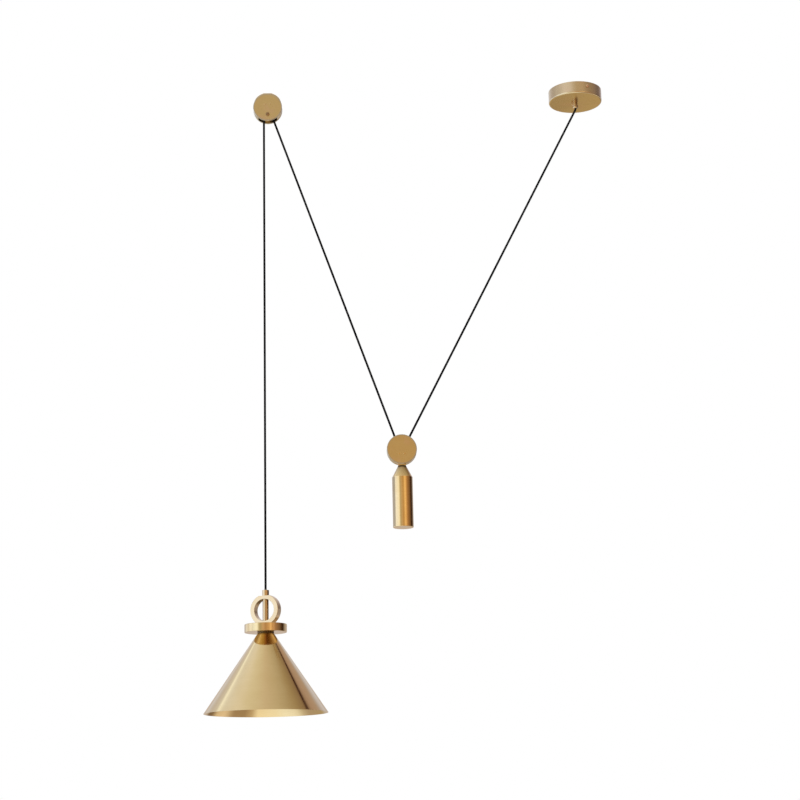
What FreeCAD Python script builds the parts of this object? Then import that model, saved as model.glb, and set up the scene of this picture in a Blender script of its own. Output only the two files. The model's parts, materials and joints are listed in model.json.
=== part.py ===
"""Rise and fall pendant: canopy, fixed pulley, counterweight and cone lamp on one cord.

Millimetres, +Z up. The origin is the canopy's centre on the ceiling plane. The cord
lies in the plane Y = 0, the fixed pulley is at -X, and the viewer stands at -Y.
"""

import FreeCAD
import Part
import math
import os

V = FreeCAD.Vector
X, Y, Z = V(1, 0, 0), V(0, 1, 0), V(0, 0, 1)

# ---- cord ----
cord_radius = 2.1
cord_slip = 0.3            # between the cord and a piece that it slides or turns in
cord_hold = 0.1            # between the cord and a grip that holds it

# ---- ceiling canopy ----
canopy_radius = 58.0
canopy_height = 26.5
canopy_wall = 1.5
canopy_edge = 2.6          # radius of the cup's spun lower edge
bracket_width = 16.0
bracket_thickness = 1.5
bracket_leg = 15.0
bracket_gap = 0.3          # between the bracket's legs and the cup
bracket_turn = 21.0        # degrees from the view axis, towards +X
bracket_hole_radius = 2.5
bracket_hole_reach = 43.0
side_screw_depth = 10.0    # below the ceiling
side_screw_radius = 2.0
side_screw_head_radius = 3.8
side_screw_head = 2.2
side_screw_tail = 2.5      # inside the bracket's leg
thread_clearance = 0.05

# ---- canopy cord grip ----
grip_radius = 4.6
grip_body_length = 5.5
grip_nut_radius = 5.3
grip_nut_length = 6.8
grip_thread_radius = 4.0
grip_nut_bore_radius = 3.2
grip_locknut_flat = 13.0
grip_locknut_height = 2.5
grip_tail = 1.0            # thread above the lock nut
grip_screw_radius = 1.2
grip_screw_reach = 3.4

# ---- terminal block ----
terminal_length = 22.0
terminal_width = 16.0
terminal_height = 11.0
terminal_start = 14.6      # from the canopy's centre
terminal_wire_depth = 7.0
terminal_screw_radius = 1.5
terminal_screw_length = 4.0
terminal_screw_sink = 0.5
terminal_poles = 3
cord_lead_bend = 12.6
exit_bend_drop = 3.1       # from the grip's mouth to the exit bend's corner
cord_entry = 1.5           # cord inside the terminal block

# ---- pulley units ----
disc_radius = 31.2
disc_thickness = 3.5
disc_gap = 15.0
disc_edge = 0.5
block_width = 17.0         # flat end that meets its neighbour
block_overhang = 2.5       # block beyond the discs' edge
block_inset = 0.3          # block's rim inside the discs' edge
fixed_slot = 40.8          # opening for the wheel and the cord
weight_slot = 48.0
block_screw_radius = 2.0
block_screw_head_radius = 3.8
block_screw_bite = 2.2     # thread inside the front disc
block_screw_spacing = 11.0
block_screw_height = 10.0  # above the block's inner end
axle_radius = 3.0
axle_head_radius = 4.6
axle_head = 1.4
axle_bite = 2.0            # axle end inside the far disc
seat_clearance = 0.05
bush_radius = 4.5
bush_play = 0.1
sheave_play = 0.5          # each side
sheave_running = 0.05
sheave_pitch_radius = 8.5  # centre line of the cord on the sheave
sheave_radius = 10.2
sheave_lip = 2.5
sheave_block_gap = 3.5

# ---- where the units hang ----
fixed_axle_x = -676.9
fixed_disc_drop = disc_radius + block_overhang
fixed_axle_offset = 16.5   # axle below the disc's centre
fixing_bore_radius = 2.25
fixing_sink_radius = 4.6
fixing_sink_depth = 4.5

weight_axle_x = -399.6
weight_axle_z = -788.1
weight_axle_offset = 14.0  # axle above the disc's centre

# ---- counterweight ----
weight_neck_radius = 8.0
weight_radius = 21.4
weight_cone_height = 25.1
weight_cylinder_length = 105.8
weight_edge = 0.6
stud_radius = 3.5
stud_in_block = 12.0
stud_in_weight = 22.0

# ---- lamp head ----
ferrule_top_z = -1091.7
ferrule_radius = 7.1
ferrule_height = 11.8
ferrule_cap = 2.5
tube_radius = 5.0
tube_bore_radius = 4.0
tube_in_ferrule = 7.0
ring_radius = 31.8
ring_bore_radius = 22.3
ring_thickness = 15.0
ring_edge = 0.6
ring_flat_cut = 2.6        # taken off the ring's top and bottom
ring_turn = 25.0           # degrees about the vertical
sleeve_radius = 6.2
top_disc_radius = 43.3
top_disc_height = 16.5
top_disc_wall = 1.7
top_disc_edge = 0.5
base_plate_thickness = 1.75
plate_gap = 0.1
nut_flat = 14.0
nut_height = 3.0
clamp_radius = 7.5
clamp_height = 4.5
collar_radius = 13.0
collar_height = 1.6
shade_top_radius = 16.4
shade_rim_radius = 126.2
shade_height = 161.2
shade_wall = 0.7
nipple_bore_radius = 3.2
nipple_above_plate = 5.0
nipple_in_cap = 7.5

# ---- lampholder ----
cap_top_radius = 10.5
cap_radius = 19.5
cap_cone_height = 11.0
cap_height = 20.0
cap_wall = 1.4
cap_thread_wall = 2.5
skirt_length = 46.0
skirt_overlap = 6.0
skirt_wall = 1.2
insert_height = 12.0
insert_drop = 0.5          # below the cap's cone
lead_bite = 4.0            # lead ends inside the insert
recess_radius = 12.0       # round the contact
recess_depth = 4.0
shell_bore_radius = 13.2
shell_wall = 0.5
shell_length = 27.0
contact_radius = 4.0
contact_height = 3.0
lead_radius = 0.9
lead_circle = 1.9
lead_count = 3

# ---- derived places ----
fixed_disc_z = -fixed_disc_drop
fixed_axle_z = fixed_disc_z - fixed_axle_offset
weight_disc_z = weight_axle_z - weight_axle_offset
block_end = disc_radius + block_overhang
lamp_x = fixed_axle_x - sheave_pitch_radius
grip_mouth_z = -(canopy_height + grip_body_length + grip_nut_length)
grip_bore_radius = cord_radius + cord_hold
fixed_axle = V(fixed_axle_x, 0, fixed_axle_z)
weight_axle = V(weight_axle_x, 0, weight_axle_z)


# ---- shapes ----
def cylinder(radius, start, end):
    span = end - start
    return Part.makeCylinder(radius, span.Length, start, span)


def upright(radius, x, low, high):
    return cylinder(radius, V(x, 0, low), V(x, 0, high))


def block(low, high):
    return Part.makeBox(high.x - low.x, high.y - low.y, high.z - low.z, low)


def turned(profile, x=0.0):
    """Solid of revolution about the vertical at x; profile is (radius, z) points."""
    points = [V(r, 0, z) for r, z in profile]
    face = Part.Face(Part.makePolygon(points + points[:1]))
    solid = face.revolve(V(0, 0, 0), Z, 360)
    solid.translate(V(x, 0, 0))
    return solid


def hexagon(flat, x, low, high):
    corners = [
        V(x, 0, low) + turn_z(V(flat / math.sqrt(3), 0, 0), 60.0 * n) for n in range(6)
    ]
    return Part.Face(Part.makePolygon(corners + corners[:1])).extrude(V(0, 0, high - low))


def turn_z(vector, degrees):
    a = math.radians(degrees)
    return V(
        vector.x * math.cos(a) - vector.y * math.sin(a),
        vector.x * math.sin(a) + vector.y * math.cos(a),
        vector.z,
    )


def eased(solid, size, where):
    """Chamfers the edges that where() picks."""
    edges = [e for e in solid.Edges if where(e)]
    return solid.makeChamfer(size, edges) if edges else solid


def is_circle(edge, radius):
    return isinstance(edge.Curve, Part.Circle) and abs(edge.Curve.Radius - radius) < 1e-6


def tube_along(edges, radius):
    """Round tube along a smooth chain of straight and arc edges."""
    stretches = []
    for edge in edges:
        start = edge.Vertexes[0].Point
        if isinstance(edge.Curve, Part.Circle):
            ring = Part.Face(Part.Wire([Part.makeCircle(radius, start, edge.tangentAt(edge.FirstParameter))]))
            turn = math.degrees(edge.Length / edge.Curve.Radius)
            stretches.append(ring.revolve(edge.Curve.Center, edge.Curve.Axis, turn))
        else:
            stretches.append(cylinder(radius, start, edge.Vertexes[-1].Point))
    tube = stretches[0]
    if len(stretches) > 1:
        tube = tube.fuse(stretches[1:]).removeSplitter()
    length = sum(edge.Length for edge in edges)
    share = tube.Volume / (math.pi * radius ** 2 * length)
    bends = [round(e.Curve.Radius, 2) for e in edges if isinstance(e.Curve, Part.Circle)]
    print(f"  tube {length:.1f} mm, volume {share:.4f} of its section times length, bends {bends}")
    return tube


# ---- the cord's route ----
def unit(vector):
    return vector * (1.0 / vector.Length)


def left_of(direction):
    """Turns a direction in the XZ plane a quarter turn towards its left, seen from -Y."""
    return V(-direction.z, 0, direction.x)


def tangent_to(point, centre, radius, side):
    """Where a line from point touches the circle; side +1 keeps the centre on its left."""
    to_centre = centre - point
    reach = to_centre.Length
    lean = math.asin(radius / reach)
    along = unit(to_centre)
    direction = along * math.cos(lean) - left_of(along) * (side * math.sin(lean))
    return point + direction * (reach * math.cos(lean)), direction


def crossing_tangent(c1, c2, radius, side):
    """Line that passes c1 on one side and c2 on the other, both at radius from it."""
    along = unit(c2 - c1)
    lean = math.asin(2 * radius / (c2 - c1).Length)
    direction = along * math.cos(lean) + left_of(along) * (side * math.sin(lean))
    off = left_of(direction) * (side * radius)
    return c1 - off, c2 + off, direction


# canopy exit: straight down out of the grip, then one bend into the run
exit_bend_point = V(0, 0, grip_mouth_z - exit_bend_drop)
canopy_run_end, canopy_run_direction = tangent_to(
    exit_bend_point, weight_axle, sheave_pitch_radius, -1
)
exit_turn = math.acos(max(-1.0, min(1.0, canopy_run_direction.dot(V(0, 0, -1)))))
exit_bend_radius = exit_bend_drop / math.tan(exit_turn / 2)
canopy_run_start = exit_bend_point + canopy_run_direction * exit_bend_drop

pulley_run_start, pulley_run_end, pulley_run_direction = crossing_tangent(
    fixed_axle, weight_axle, sheave_pitch_radius, -1
)
drop_start = V(lamp_x, 0, fixed_axle_z)
drop_end = V(lamp_x, 0, ferrule_top_z)


def arc_through(centre, start, end, toward):
    """Arc from start to end round centre, on the side that toward points to."""
    middle = centre + unit(toward) * (start - centre).Length
    return Part.Arc(start, middle, end).toShape()


def line(a, b):
    return Part.LineSegment(a, b).toShape()


# ---- writing ----
os.makedirs("parts", exist_ok=True)
made = {}


def keep(name, shape):
    solids = shape.Solids
    assert solids and all(s.isValid() for s in solids), name
    result = solids[0] if len(solids) == 1 else Part.makeCompound(solids)
    result.exportStep(f"parts/{name}.step")
    made[name] = result
    return result


# ---- ceiling canopy ----
def canopy_cup():
    outer = upright(canopy_radius, 0, -canopy_height, 0)
    low_edge = [
        e for e in outer.Edges
        if is_circle(e, canopy_radius) and abs(e.Curve.Center.z + canopy_height) < 1e-6
    ]
    outer = outer.makeFillet(canopy_edge, low_edge)
    inner = upright(canopy_radius - canopy_wall, 0, -canopy_height + canopy_wall, 1)
    cup = outer.cut(inner)
    cup = cup.cut(upright(grip_thread_radius + thread_clearance, 0, -canopy_height - 1, 0))
    for reach in (-canopy_radius, canopy_radius):
        hole = cylinder(
            side_screw_radius + thread_clearance,
            turn_z(V(0, 0.8 * reach, -side_screw_depth), bracket_turn),
            turn_z(V(0, 1.1 * reach, -side_screw_depth), bracket_turn),
        )
        cup = cup.cut(hole)
    return cup


def bracket_end():
    """Outer face of a bracket leg, clear of the cup's inside at the leg's corners."""
    inside = canopy_radius - canopy_wall
    return math.sqrt(inside ** 2 - (bracket_width / 2) ** 2) - bracket_gap


def ceiling_bracket():
    half, end = bracket_width / 2, bracket_end()
    strap = block(V(-half, -end, -bracket_thickness), V(half, end, 0))
    for side in (-1, 1):
        near, far = sorted((side * (end - bracket_thickness), side * end))
        leg = block(V(-half, near, -bracket_leg), V(half, far, 0))
        strap = strap.fuse(leg)
        strap = strap.cut(cylinder(
            side_screw_radius + thread_clearance,
            V(0, near - 1, -side_screw_depth), V(0, far + 1, -side_screw_depth),
        ))
        strap = strap.cut(cylinder(
            bracket_hole_radius,
            V(0, side * bracket_hole_reach, -bracket_thickness - 1),
            V(0, side * bracket_hole_reach, 1),
        ))
    strap = strap.removeSplitter()
    strap.rotate(V(0, 0, 0), Z, bracket_turn)
    return strap


def canopy_side_screws():
    screws = []
    seat = canopy_radius
    tip = bracket_end() - bracket_thickness - side_screw_tail
    for side in (-1, 1):
        shank = cylinder(side_screw_radius, V(0, side * tip, 0), V(0, side * (seat + 0.5), 0))
        head = cylinder(
            side_screw_head_radius, V(0, side * seat, 0), V(0, side * (seat + side_screw_head), 0)
        )
        screw = shank.fuse(head).removeSplitter()
        screw.translate(V(0, 0, -side_screw_depth))
        screw.rotate(V(0, 0, 0), Z, bracket_turn)
        screws.append(screw)
    return Part.makeCompound(screws)


def cord_grip_body():
    underside = -canopy_height
    top = underside + canopy_wall + grip_locknut_height + grip_tail
    thread = upright(grip_thread_radius, 0, underside - 0.5, top)
    body = upright(grip_radius, 0, underside - grip_body_length, underside)
    neck = upright(
        grip_nut_bore_radius, 0,
        underside - grip_body_length - grip_nut_length / 2, underside - grip_body_length + 0.5,
    )
    solid = thread.fuse([body, neck]).removeSplitter()
    solid = solid.cut(upright(grip_bore_radius, 0, grip_mouth_z - 1, 0))
    return solid.cut(grip_screw_hole())


def cord_grip_nut():
    top = -(canopy_height + grip_body_length)
    nut = upright(grip_nut_radius, 0, grip_mouth_z, top)
    nut = eased(nut, 0.5, lambda e: is_circle(e, grip_nut_radius))
    recess = upright(grip_nut_bore_radius + thread_clearance, 0, top - grip_nut_length / 2 - 0.1, top + 1)
    nut = nut.cut(recess)
    return nut.cut(upright(grip_bore_radius, 0, grip_mouth_z - 1, 0))


def cord_grip_locknut():
    low = -canopy_height + canopy_wall
    nut = hexagon(grip_locknut_flat, 0, low, low + grip_locknut_height)
    return nut.cut(upright(grip_thread_radius + thread_clearance, 0, low - 1, 0))


grip_screw_z = -(canopy_height + grip_body_length / 2)


def grip_screw_hole():
    return cylinder(
        grip_screw_radius + thread_clearance,
        V(-grip_radius - 1, 0, grip_screw_z), V(-cord_radius, 0, grip_screw_z),
    )


def cord_grip_set_screw():
    return cylinder(
        grip_screw_radius,
        V(-grip_radius - grip_screw_reach, 0, grip_screw_z),
        V(-grip_bore_radius - 0.1, 0, grip_screw_z),
    )


def terminal_block():
    low = V(-terminal_width / 2, terminal_start, -bracket_thickness - terminal_height)
    high = V(terminal_width / 2, terminal_start + terminal_length, -bracket_thickness)
    solid = block(low, high)
    entry = cylinder(
        cord_radius + cord_hold,
        V(0, terminal_start - 1, -terminal_wire_depth),
        V(0, terminal_start + cord_entry + 0.1, -terminal_wire_depth),
    )
    solid = solid.cut(entry)
    for x, y in terminal_spots():
        solid = solid.cut(cylinder(
            terminal_screw_radius + thread_clearance,
            V(x, y, low.z - 1), V(x, y, low.z + terminal_screw_sink + terminal_screw_length),
        ))
    solid.rotate(V(0, 0, 0), Z, bracket_turn)
    return solid


def terminal_spots():
    pitch = terminal_width / terminal_poles
    for n in range(terminal_poles):
        x = (n - (terminal_poles - 1) / 2) * pitch
        for share in (0.3, 0.7):
            yield x, terminal_start + share * terminal_length


def terminal_screws():
    low = -bracket_thickness - terminal_height
    screws = [
        cylinder(
            terminal_screw_radius,
            V(x, y, low + terminal_screw_sink),
            V(x, y, low + terminal_screw_sink + terminal_screw_length),
        )
        for x, y in terminal_spots()
    ]
    group = Part.makeCompound(screws)
    group.rotate(V(0, 0, 0), Z, bracket_turn)
    return group


def cord_canopy_lead():
    inward = turn_z(Y, bracket_turn)
    bend = cord_lead_bend
    far = inward * (terminal_start + cord_entry) + V(0, 0, -terminal_wire_depth)
    arc_in = inward * bend + V(0, 0, -terminal_wire_depth)
    arc_out = V(0, 0, -terminal_wire_depth - bend)
    centre = inward * bend + V(0, 0, -terminal_wire_depth - bend)
    mouth = V(0, 0, grip_mouth_z)
    exit_centre = mouth + V(-exit_bend_radius, 0, 0)
    edges = [
        line(far, arc_in),
        arc_through(centre, arc_in, arc_out, Z - inward),
        line(arc_out, mouth),
        arc_through(exit_centre, mouth, canopy_run_start, (mouth - exit_centre) + (canopy_run_start - exit_centre)),
    ]
    return tube_along(edges, cord_radius)


# ---- pulley units ----
# Each unit is built about its axle at the origin, with its block upwards, then placed.
front_y = -disc_gap / 2
back_y = disc_gap / 2


def unit_disc(offset, face_y, thickness_sign):
    """One disc; its centre lies offset from the axle towards the block."""
    near, far = V(0, face_y, offset), V(0, face_y + thickness_sign * disc_thickness, offset)
    disc = cylinder(disc_radius, near, far)
    return eased(disc, disc_edge, lambda e: is_circle(e, disc_radius))


block_inner_end = sheave_radius + sheave_block_gap
screw_z = block_inner_end + block_screw_height
screw_places = (-block_screw_spacing / 2, block_screw_spacing / 2)


def front_disc(offset, axle_from_front):
    disc = unit_disc(offset, front_y, -1)
    depth = disc_thickness + 1 if axle_from_front else axle_bite + 0.1
    disc = disc.cut(cylinder(axle_radius + seat_clearance, V(0, front_y + 1, 0), V(0, front_y - depth, 0)))
    for x in screw_places:
        disc = disc.cut(cylinder(
            block_screw_radius + thread_clearance,
            V(x, front_y + 1, screw_z), V(x, front_y - block_screw_bite - 0.1, screw_z),
        ))
    return disc


def back_disc(offset, axle_from_front):
    disc = unit_disc(offset, back_y, 1)
    depth = axle_bite + 0.1 if axle_from_front else disc_thickness + 1
    disc = disc.cut(cylinder(axle_radius + seat_clearance, V(0, back_y - 1, 0), V(0, back_y + depth, 0)))
    for x in screw_places:
        disc = disc.cut(cylinder(
            block_screw_radius + thread_clearance,
            V(x, back_y - 1, screw_z), V(x, back_y + disc_thickness + 1, screw_z),
        ))
        disc = disc.cut(screw_sink(x, thread_clearance))
    return disc


def screw_sink(x, extra):
    """Countersink cone in the back disc's outer face, or the screw's head with extra = 0."""
    depth = block_screw_head_radius - block_screw_radius
    outer_face = back_y + disc_thickness
    return Part.makeCone(
        block_screw_radius + extra, block_screw_head_radius + extra, depth,
        V(x, outer_face - depth, screw_z), Y,
    )


def spacer_block(offset, ceiling_bore, slot):
    """Rim between the discs, closed but for the slot where the wheel sits and the cord comes out."""
    low, top = block_inner_end, offset + block_end
    rim_radius = disc_radius - block_inset
    rim = cylinder(rim_radius, V(0, front_y, offset), V(0, back_y, offset))
    neck = block(V(-block_width / 2, front_y, offset), V(block_width / 2, back_y, top))
    solid = rim.fuse(neck).removeSplitter()
    solid = solid.cut(block(V(-slot / 2, front_y - 1, offset - rim_radius - 1), V(slot / 2, back_y + 1, low)))
    for x in screw_places:
        solid = solid.cut(cylinder(
            block_screw_radius + thread_clearance, V(x, front_y - 1, screw_z), V(x, back_y + 1, screw_z)
        ))
    if not ceiling_bore:
        return solid.cut(cylinder(
            stud_radius + thread_clearance, V(0, 0, top - stud_in_block - 0.1), V(0, 0, top + 1)
        ))
    solid = solid.cut(cylinder(fixing_bore_radius, V(0, 0, low - 1), V(0, 0, top + 1)))
    return solid.cut(Part.makeCone(
        fixing_sink_radius, fixing_bore_radius, fixing_sink_depth, V(0, 0, low), Z
    ))


def unit_axle(axle_from_front):
    side = -1 if axle_from_front else 1
    outer = side * (disc_gap / 2 + disc_thickness)
    inner = -side * (disc_gap / 2 + axle_bite)
    pin = cylinder(axle_radius, V(0, inner, 0), V(0, outer + side * 0.3, 0))
    head = cylinder(axle_head_radius, V(0, outer, 0), V(0, outer + side * axle_head, 0))
    axle = pin.fuse(head).removeSplitter()
    rim = outer + side * axle_head
    return eased(
        axle, 0.4,
        lambda e: is_circle(e, axle_head_radius) and abs(e.Curve.Center.y - rim) < 1e-6,
    )


def unit_bush():
    half = disc_gap / 2 - bush_play
    bush = cylinder(bush_radius, V(0, -half, 0), V(0, half, 0))
    return bush.cut(cylinder(axle_radius + seat_clearance, V(0, -half - 1, 0), V(0, half + 1, 0)))


def unit_screws():
    screws = []
    depth = block_screw_head_radius - block_screw_radius
    for x in screw_places:
        shank = cylinder(
            block_screw_radius,
            V(x, front_y - block_screw_bite, screw_z),
            V(x, back_y + disc_thickness - depth, screw_z),
        )
        screws.append(shank.fuse(screw_sink(x, 0.0)).removeSplitter())
    return Part.makeCompound(screws)


def sheave():
    """Grooved wheel that turns on the bush; the groove's floor follows the cord."""
    half = disc_gap / 2 - sheave_play
    bore = bush_radius + sheave_running
    groove = cord_radius + cord_slip
    points = {
        "bore_front": V(bore, -half, 0), "rim_front": V(sheave_radius, -half, 0),
        "lip_front": V(sheave_radius, -half + sheave_lip, 0),
        "groove_front": V(sheave_pitch_radius, -groove, 0),
        "groove_back": V(sheave_pitch_radius, groove, 0),
        "lip_back": V(sheave_radius, half - sheave_lip, 0),
        "rim_back": V(sheave_radius, half, 0), "bore_back": V(bore, half, 0),
    }
    floor = V(sheave_pitch_radius - groove, 0, 0)
    order = list(points.values())
    edges = [line(a, b) for a, b in zip(order[:3], order[1:4])]
    edges.append(Part.Arc(points["groove_front"], floor, points["groove_back"]).toShape())
    edges += [line(a, b) for a, b in zip(order[4:7], order[5:8])]
    edges.append(line(points["bore_back"], points["bore_front"]))
    return Part.Face(Part.Wire(edges)).revolve(V(0, 0, 0), Y, 360)


def placed(shape, axle, inverted):
    result = shape.copy()
    if inverted:
        result.rotate(V(0, 0, 0), Y, 180)
    result.translate(axle)
    return result


def pulley_unit(prefix, axle, offset, inverted, axle_from_front, ceiling_bore, slot):
    pieces = {
        "front_disc": front_disc(offset, axle_from_front),
        "back_disc": back_disc(offset, axle_from_front),
        "block": spacer_block(offset, ceiling_bore, slot),
        "axle": unit_axle(axle_from_front),
        "bush": unit_bush(),
        "back_screws": unit_screws(),
        "sheave": sheave(),
    }
    for name, shape in pieces.items():
        keep(f"{prefix}_{name}", placed(shape, axle, inverted))


def cord_on_sheave(axle, start, end, toward):
    return tube_along([arc_through(axle, start, end, toward)], cord_radius)


# ---- counterweight ----
weight_top = weight_disc_z - block_end
weight_shoulder = weight_top - weight_cone_height
weight_bottom = weight_shoulder - weight_cylinder_length


def weight_body():
    """Turned from solid bar, with a tapped hole for the stud."""
    e = weight_edge
    floor = weight_top - stud_in_weight - 0.1
    hole = stud_radius + thread_clearance
    return turned([
        (hole, weight_top),
        (weight_neck_radius, weight_top),
        (weight_radius, weight_shoulder),
        (weight_radius, weight_bottom + e),
        (weight_radius - e, weight_bottom),
        (0, weight_bottom),
        (0, floor),
        (hole, floor),
    ], weight_axle_x)


def weight_stud():
    return upright(stud_radius, weight_axle_x, weight_top - stud_in_weight, weight_top + stud_in_block)


# ---- lamp head ----
ferrule_base_z = ferrule_top_z - ferrule_height
ring_flat = ring_radius - ring_flat_cut
ring_z = ferrule_base_z - ring_flat
disc_top_z = ring_z - ring_flat
disc_bottom_z = disc_top_z - top_disc_height
plate_top_z = disc_bottom_z + base_plate_thickness
shade_top_z = disc_bottom_z - collar_height
shade_rim_z = shade_top_z - shade_height
disc_inside_z = disc_top_z - top_disc_wall
tube_hole = tube_radius + thread_clearance


def ferrule():
    body = upright(ferrule_radius, lamp_x, ferrule_base_z, ferrule_top_z)
    body = eased(
        body, 0.5,
        lambda e: is_circle(e, ferrule_radius) and abs(e.Curve.Center.z - ferrule_top_z) < 1e-6,
    )
    body = body.cut(upright(tube_hole, lamp_x, ferrule_base_z - 1, ferrule_top_z - ferrule_cap))
    return body.cut(upright(cord_radius + cord_slip, lamp_x, ferrule_base_z, ferrule_top_z + 1))


def ring_axis_points(half):
    along = turn_z(Y, -ring_turn)
    centre = V(lamp_x, 0, ring_z)
    return centre - along * half, centre + along * half


def hanger_ring():
    low, high = ring_axis_points(ring_thickness / 2)
    ring = cylinder(ring_radius, low, high)
    ring = eased(ring, ring_edge, lambda e: is_circle(e, ring_radius))
    bore = cylinder(ring_bore_radius, *ring_axis_points(ring_thickness))
    ring = ring.cut(bore)
    reach = 2 * ring_radius
    keep_between = block(
        V(lamp_x - reach, -reach, ring_z - ring_flat), V(lamp_x + reach, reach, ring_z + ring_flat)
    )
    ring = ring.common(keep_between)
    return ring.cut(upright(tube_hole, lamp_x, ring_z - reach, ring_z + reach))


def ring_sleeve():
    sleeve = upright(sleeve_radius, lamp_x, ring_z - ring_radius, ring_z + ring_radius)
    sleeve = sleeve.common(cylinder(ring_bore_radius - 0.05, *ring_axis_points(ring_thickness)))
    return sleeve.cut(upright(tube_hole, lamp_x, ring_z - ring_radius, ring_z + ring_radius))


tube_top_z = ferrule_base_z + tube_in_ferrule
tube_bottom_z = disc_inside_z - nut_height - 0.5


def centre_tube():
    tube = upright(tube_radius, lamp_x, tube_bottom_z, tube_top_z)
    return tube.cut(upright(tube_bore_radius, lamp_x, tube_bottom_z - 1, tube_top_z + 1))


def top_disc():
    outer = upright(top_disc_radius, lamp_x, disc_bottom_z, disc_top_z)
    outer = eased(outer, top_disc_edge, lambda e: is_circle(e, top_disc_radius))
    inner = upright(top_disc_radius - top_disc_wall, lamp_x, disc_bottom_z - 1, disc_inside_z)
    return outer.cut(inner).cut(upright(tube_hole, lamp_x, disc_bottom_z, disc_top_z + 1))


def disc_base_plate():
    radius = top_disc_radius - top_disc_wall - plate_gap
    plate = upright(radius, lamp_x, disc_bottom_z, plate_top_z)
    return plate.cut(upright(tube_hole, lamp_x, disc_bottom_z - 1, plate_top_z + 1))


def tube_locknut():
    nut = hexagon(nut_flat, lamp_x, disc_inside_z - nut_height, disc_inside_z)
    return nut.cut(upright(tube_hole, lamp_x, disc_inside_z - nut_height - 1, disc_inside_z + 1))


clamp_top_z = tube_bottom_z
cord_end_z = clamp_top_z - clamp_height


def cord_clamp():
    clamp = upright(clamp_radius, lamp_x, cord_end_z, clamp_top_z)
    return clamp.cut(upright(cord_radius + cord_slip, lamp_x, cord_end_z - 1, clamp_top_z + 1))


def shade_collar():
    collar = upright(collar_radius, lamp_x, shade_top_z, disc_bottom_z)
    return collar.cut(upright(tube_hole, lamp_x, shade_top_z - 1, disc_bottom_z + 1))


shade_slope = (shade_rim_radius - shade_top_radius) / shade_height
shade_skin = shade_wall / math.cos(math.atan(shade_slope))


def shade_inside(z):
    """Inner radius of the cone at height z."""
    return shade_top_radius + (shade_top_z - z) * shade_slope - shade_skin


def shade_cone():
    under = shade_top_z - shade_wall
    return turned([
        (tube_hole, shade_top_z),
        (shade_top_radius, shade_top_z),
        (shade_rim_radius, shade_rim_z),
        (shade_inside(shade_rim_z), shade_rim_z),
        (shade_inside(under), under),
        (tube_hole, under),
    ], lamp_x)


nipple_top_z = plate_top_z + nipple_above_plate
cap_top_z = shade_top_z - shade_wall
nipple_bottom_z = cap_top_z - nipple_in_cap


def lamp_nipple():
    nipple = upright(tube_radius, lamp_x, nipple_bottom_z, nipple_top_z)
    return nipple.cut(upright(nipple_bore_radius, lamp_x, nipple_bottom_z - 1, nipple_top_z + 1))


def nipple_locknut():
    nut = hexagon(nut_flat, lamp_x, plate_top_z, plate_top_z + nut_height)
    return nut.cut(upright(tube_hole, lamp_x, plate_top_z - 1, plate_top_z + nut_height + 1))


# ---- lampholder ----
cap_bottom_z = cap_top_z - cap_height
skirt_top_z = cap_bottom_z + skirt_overlap
skirt_bottom_z = skirt_top_z - skirt_length
skirt_radius = cap_radius - cap_wall - 0.1
insert_top_z = cap_top_z - cap_cone_height - insert_drop
insert_bottom_z = insert_top_z - insert_height
insert_radius = skirt_radius - skirt_wall - 0.1
shell_top_z = insert_bottom_z


def lampholder_cap():
    inner = cap_radius - cap_wall
    neck = cap_top_radius - cap_wall
    return turned([
        (tube_hole, cap_top_z),
        (cap_top_radius, cap_top_z),
        (cap_radius, cap_top_z - cap_cone_height),
        (cap_radius, cap_bottom_z),
        (inner, cap_bottom_z),
        (inner, cap_top_z - cap_cone_height - 0.5),
        (neck, cap_top_z - cap_thread_wall),
        (tube_hole, cap_top_z - cap_thread_wall),
    ], lamp_x)


def lampholder_skirt():
    skirt = upright(skirt_radius, lamp_x, skirt_bottom_z, skirt_top_z)
    return skirt.cut(upright(skirt_radius - skirt_wall, lamp_x, skirt_bottom_z - 1, skirt_top_z + 1))


def lead_places():
    for n in range(lead_count):
        yield V(lamp_x, 0, 0) + turn_z(V(lead_circle, 0, 0), 360.0 / lead_count * n)


def lampholder_insert():
    body = upright(insert_radius, lamp_x, insert_bottom_z, insert_top_z)
    body = body.cut(upright(recess_radius, lamp_x, insert_bottom_z - 1, insert_bottom_z + recess_depth))
    for spot in lead_places():
        body = body.cut(cylinder(
            lead_radius + 0.1, spot + V(0, 0, insert_top_z - lead_bite - 0.1), spot + V(0, 0, insert_top_z + 1)
        ))
    return body


def lampholder_shell():
    outer = upright(shell_bore_radius + shell_wall, lamp_x, shell_top_z - shell_length, shell_top_z)
    return outer.cut(upright(shell_bore_radius, lamp_x, shell_top_z - shell_length - 1, shell_top_z + 1))


def lampholder_contact():
    top = insert_bottom_z + recess_depth
    tip = top - contact_height
    stem = upright(contact_radius, lamp_x, tip, top)
    return eased(
        stem, 0.8, lambda e: is_circle(e, contact_radius) and abs(e.Curve.Center.z - tip) < 1e-6
    )


def lamp_leads():
    return Part.makeCompound([
        cylinder(lead_radius, spot + V(0, 0, insert_top_z - lead_bite), spot + V(0, 0, cord_end_z))
        for spot in lead_places()
    ])


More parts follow.
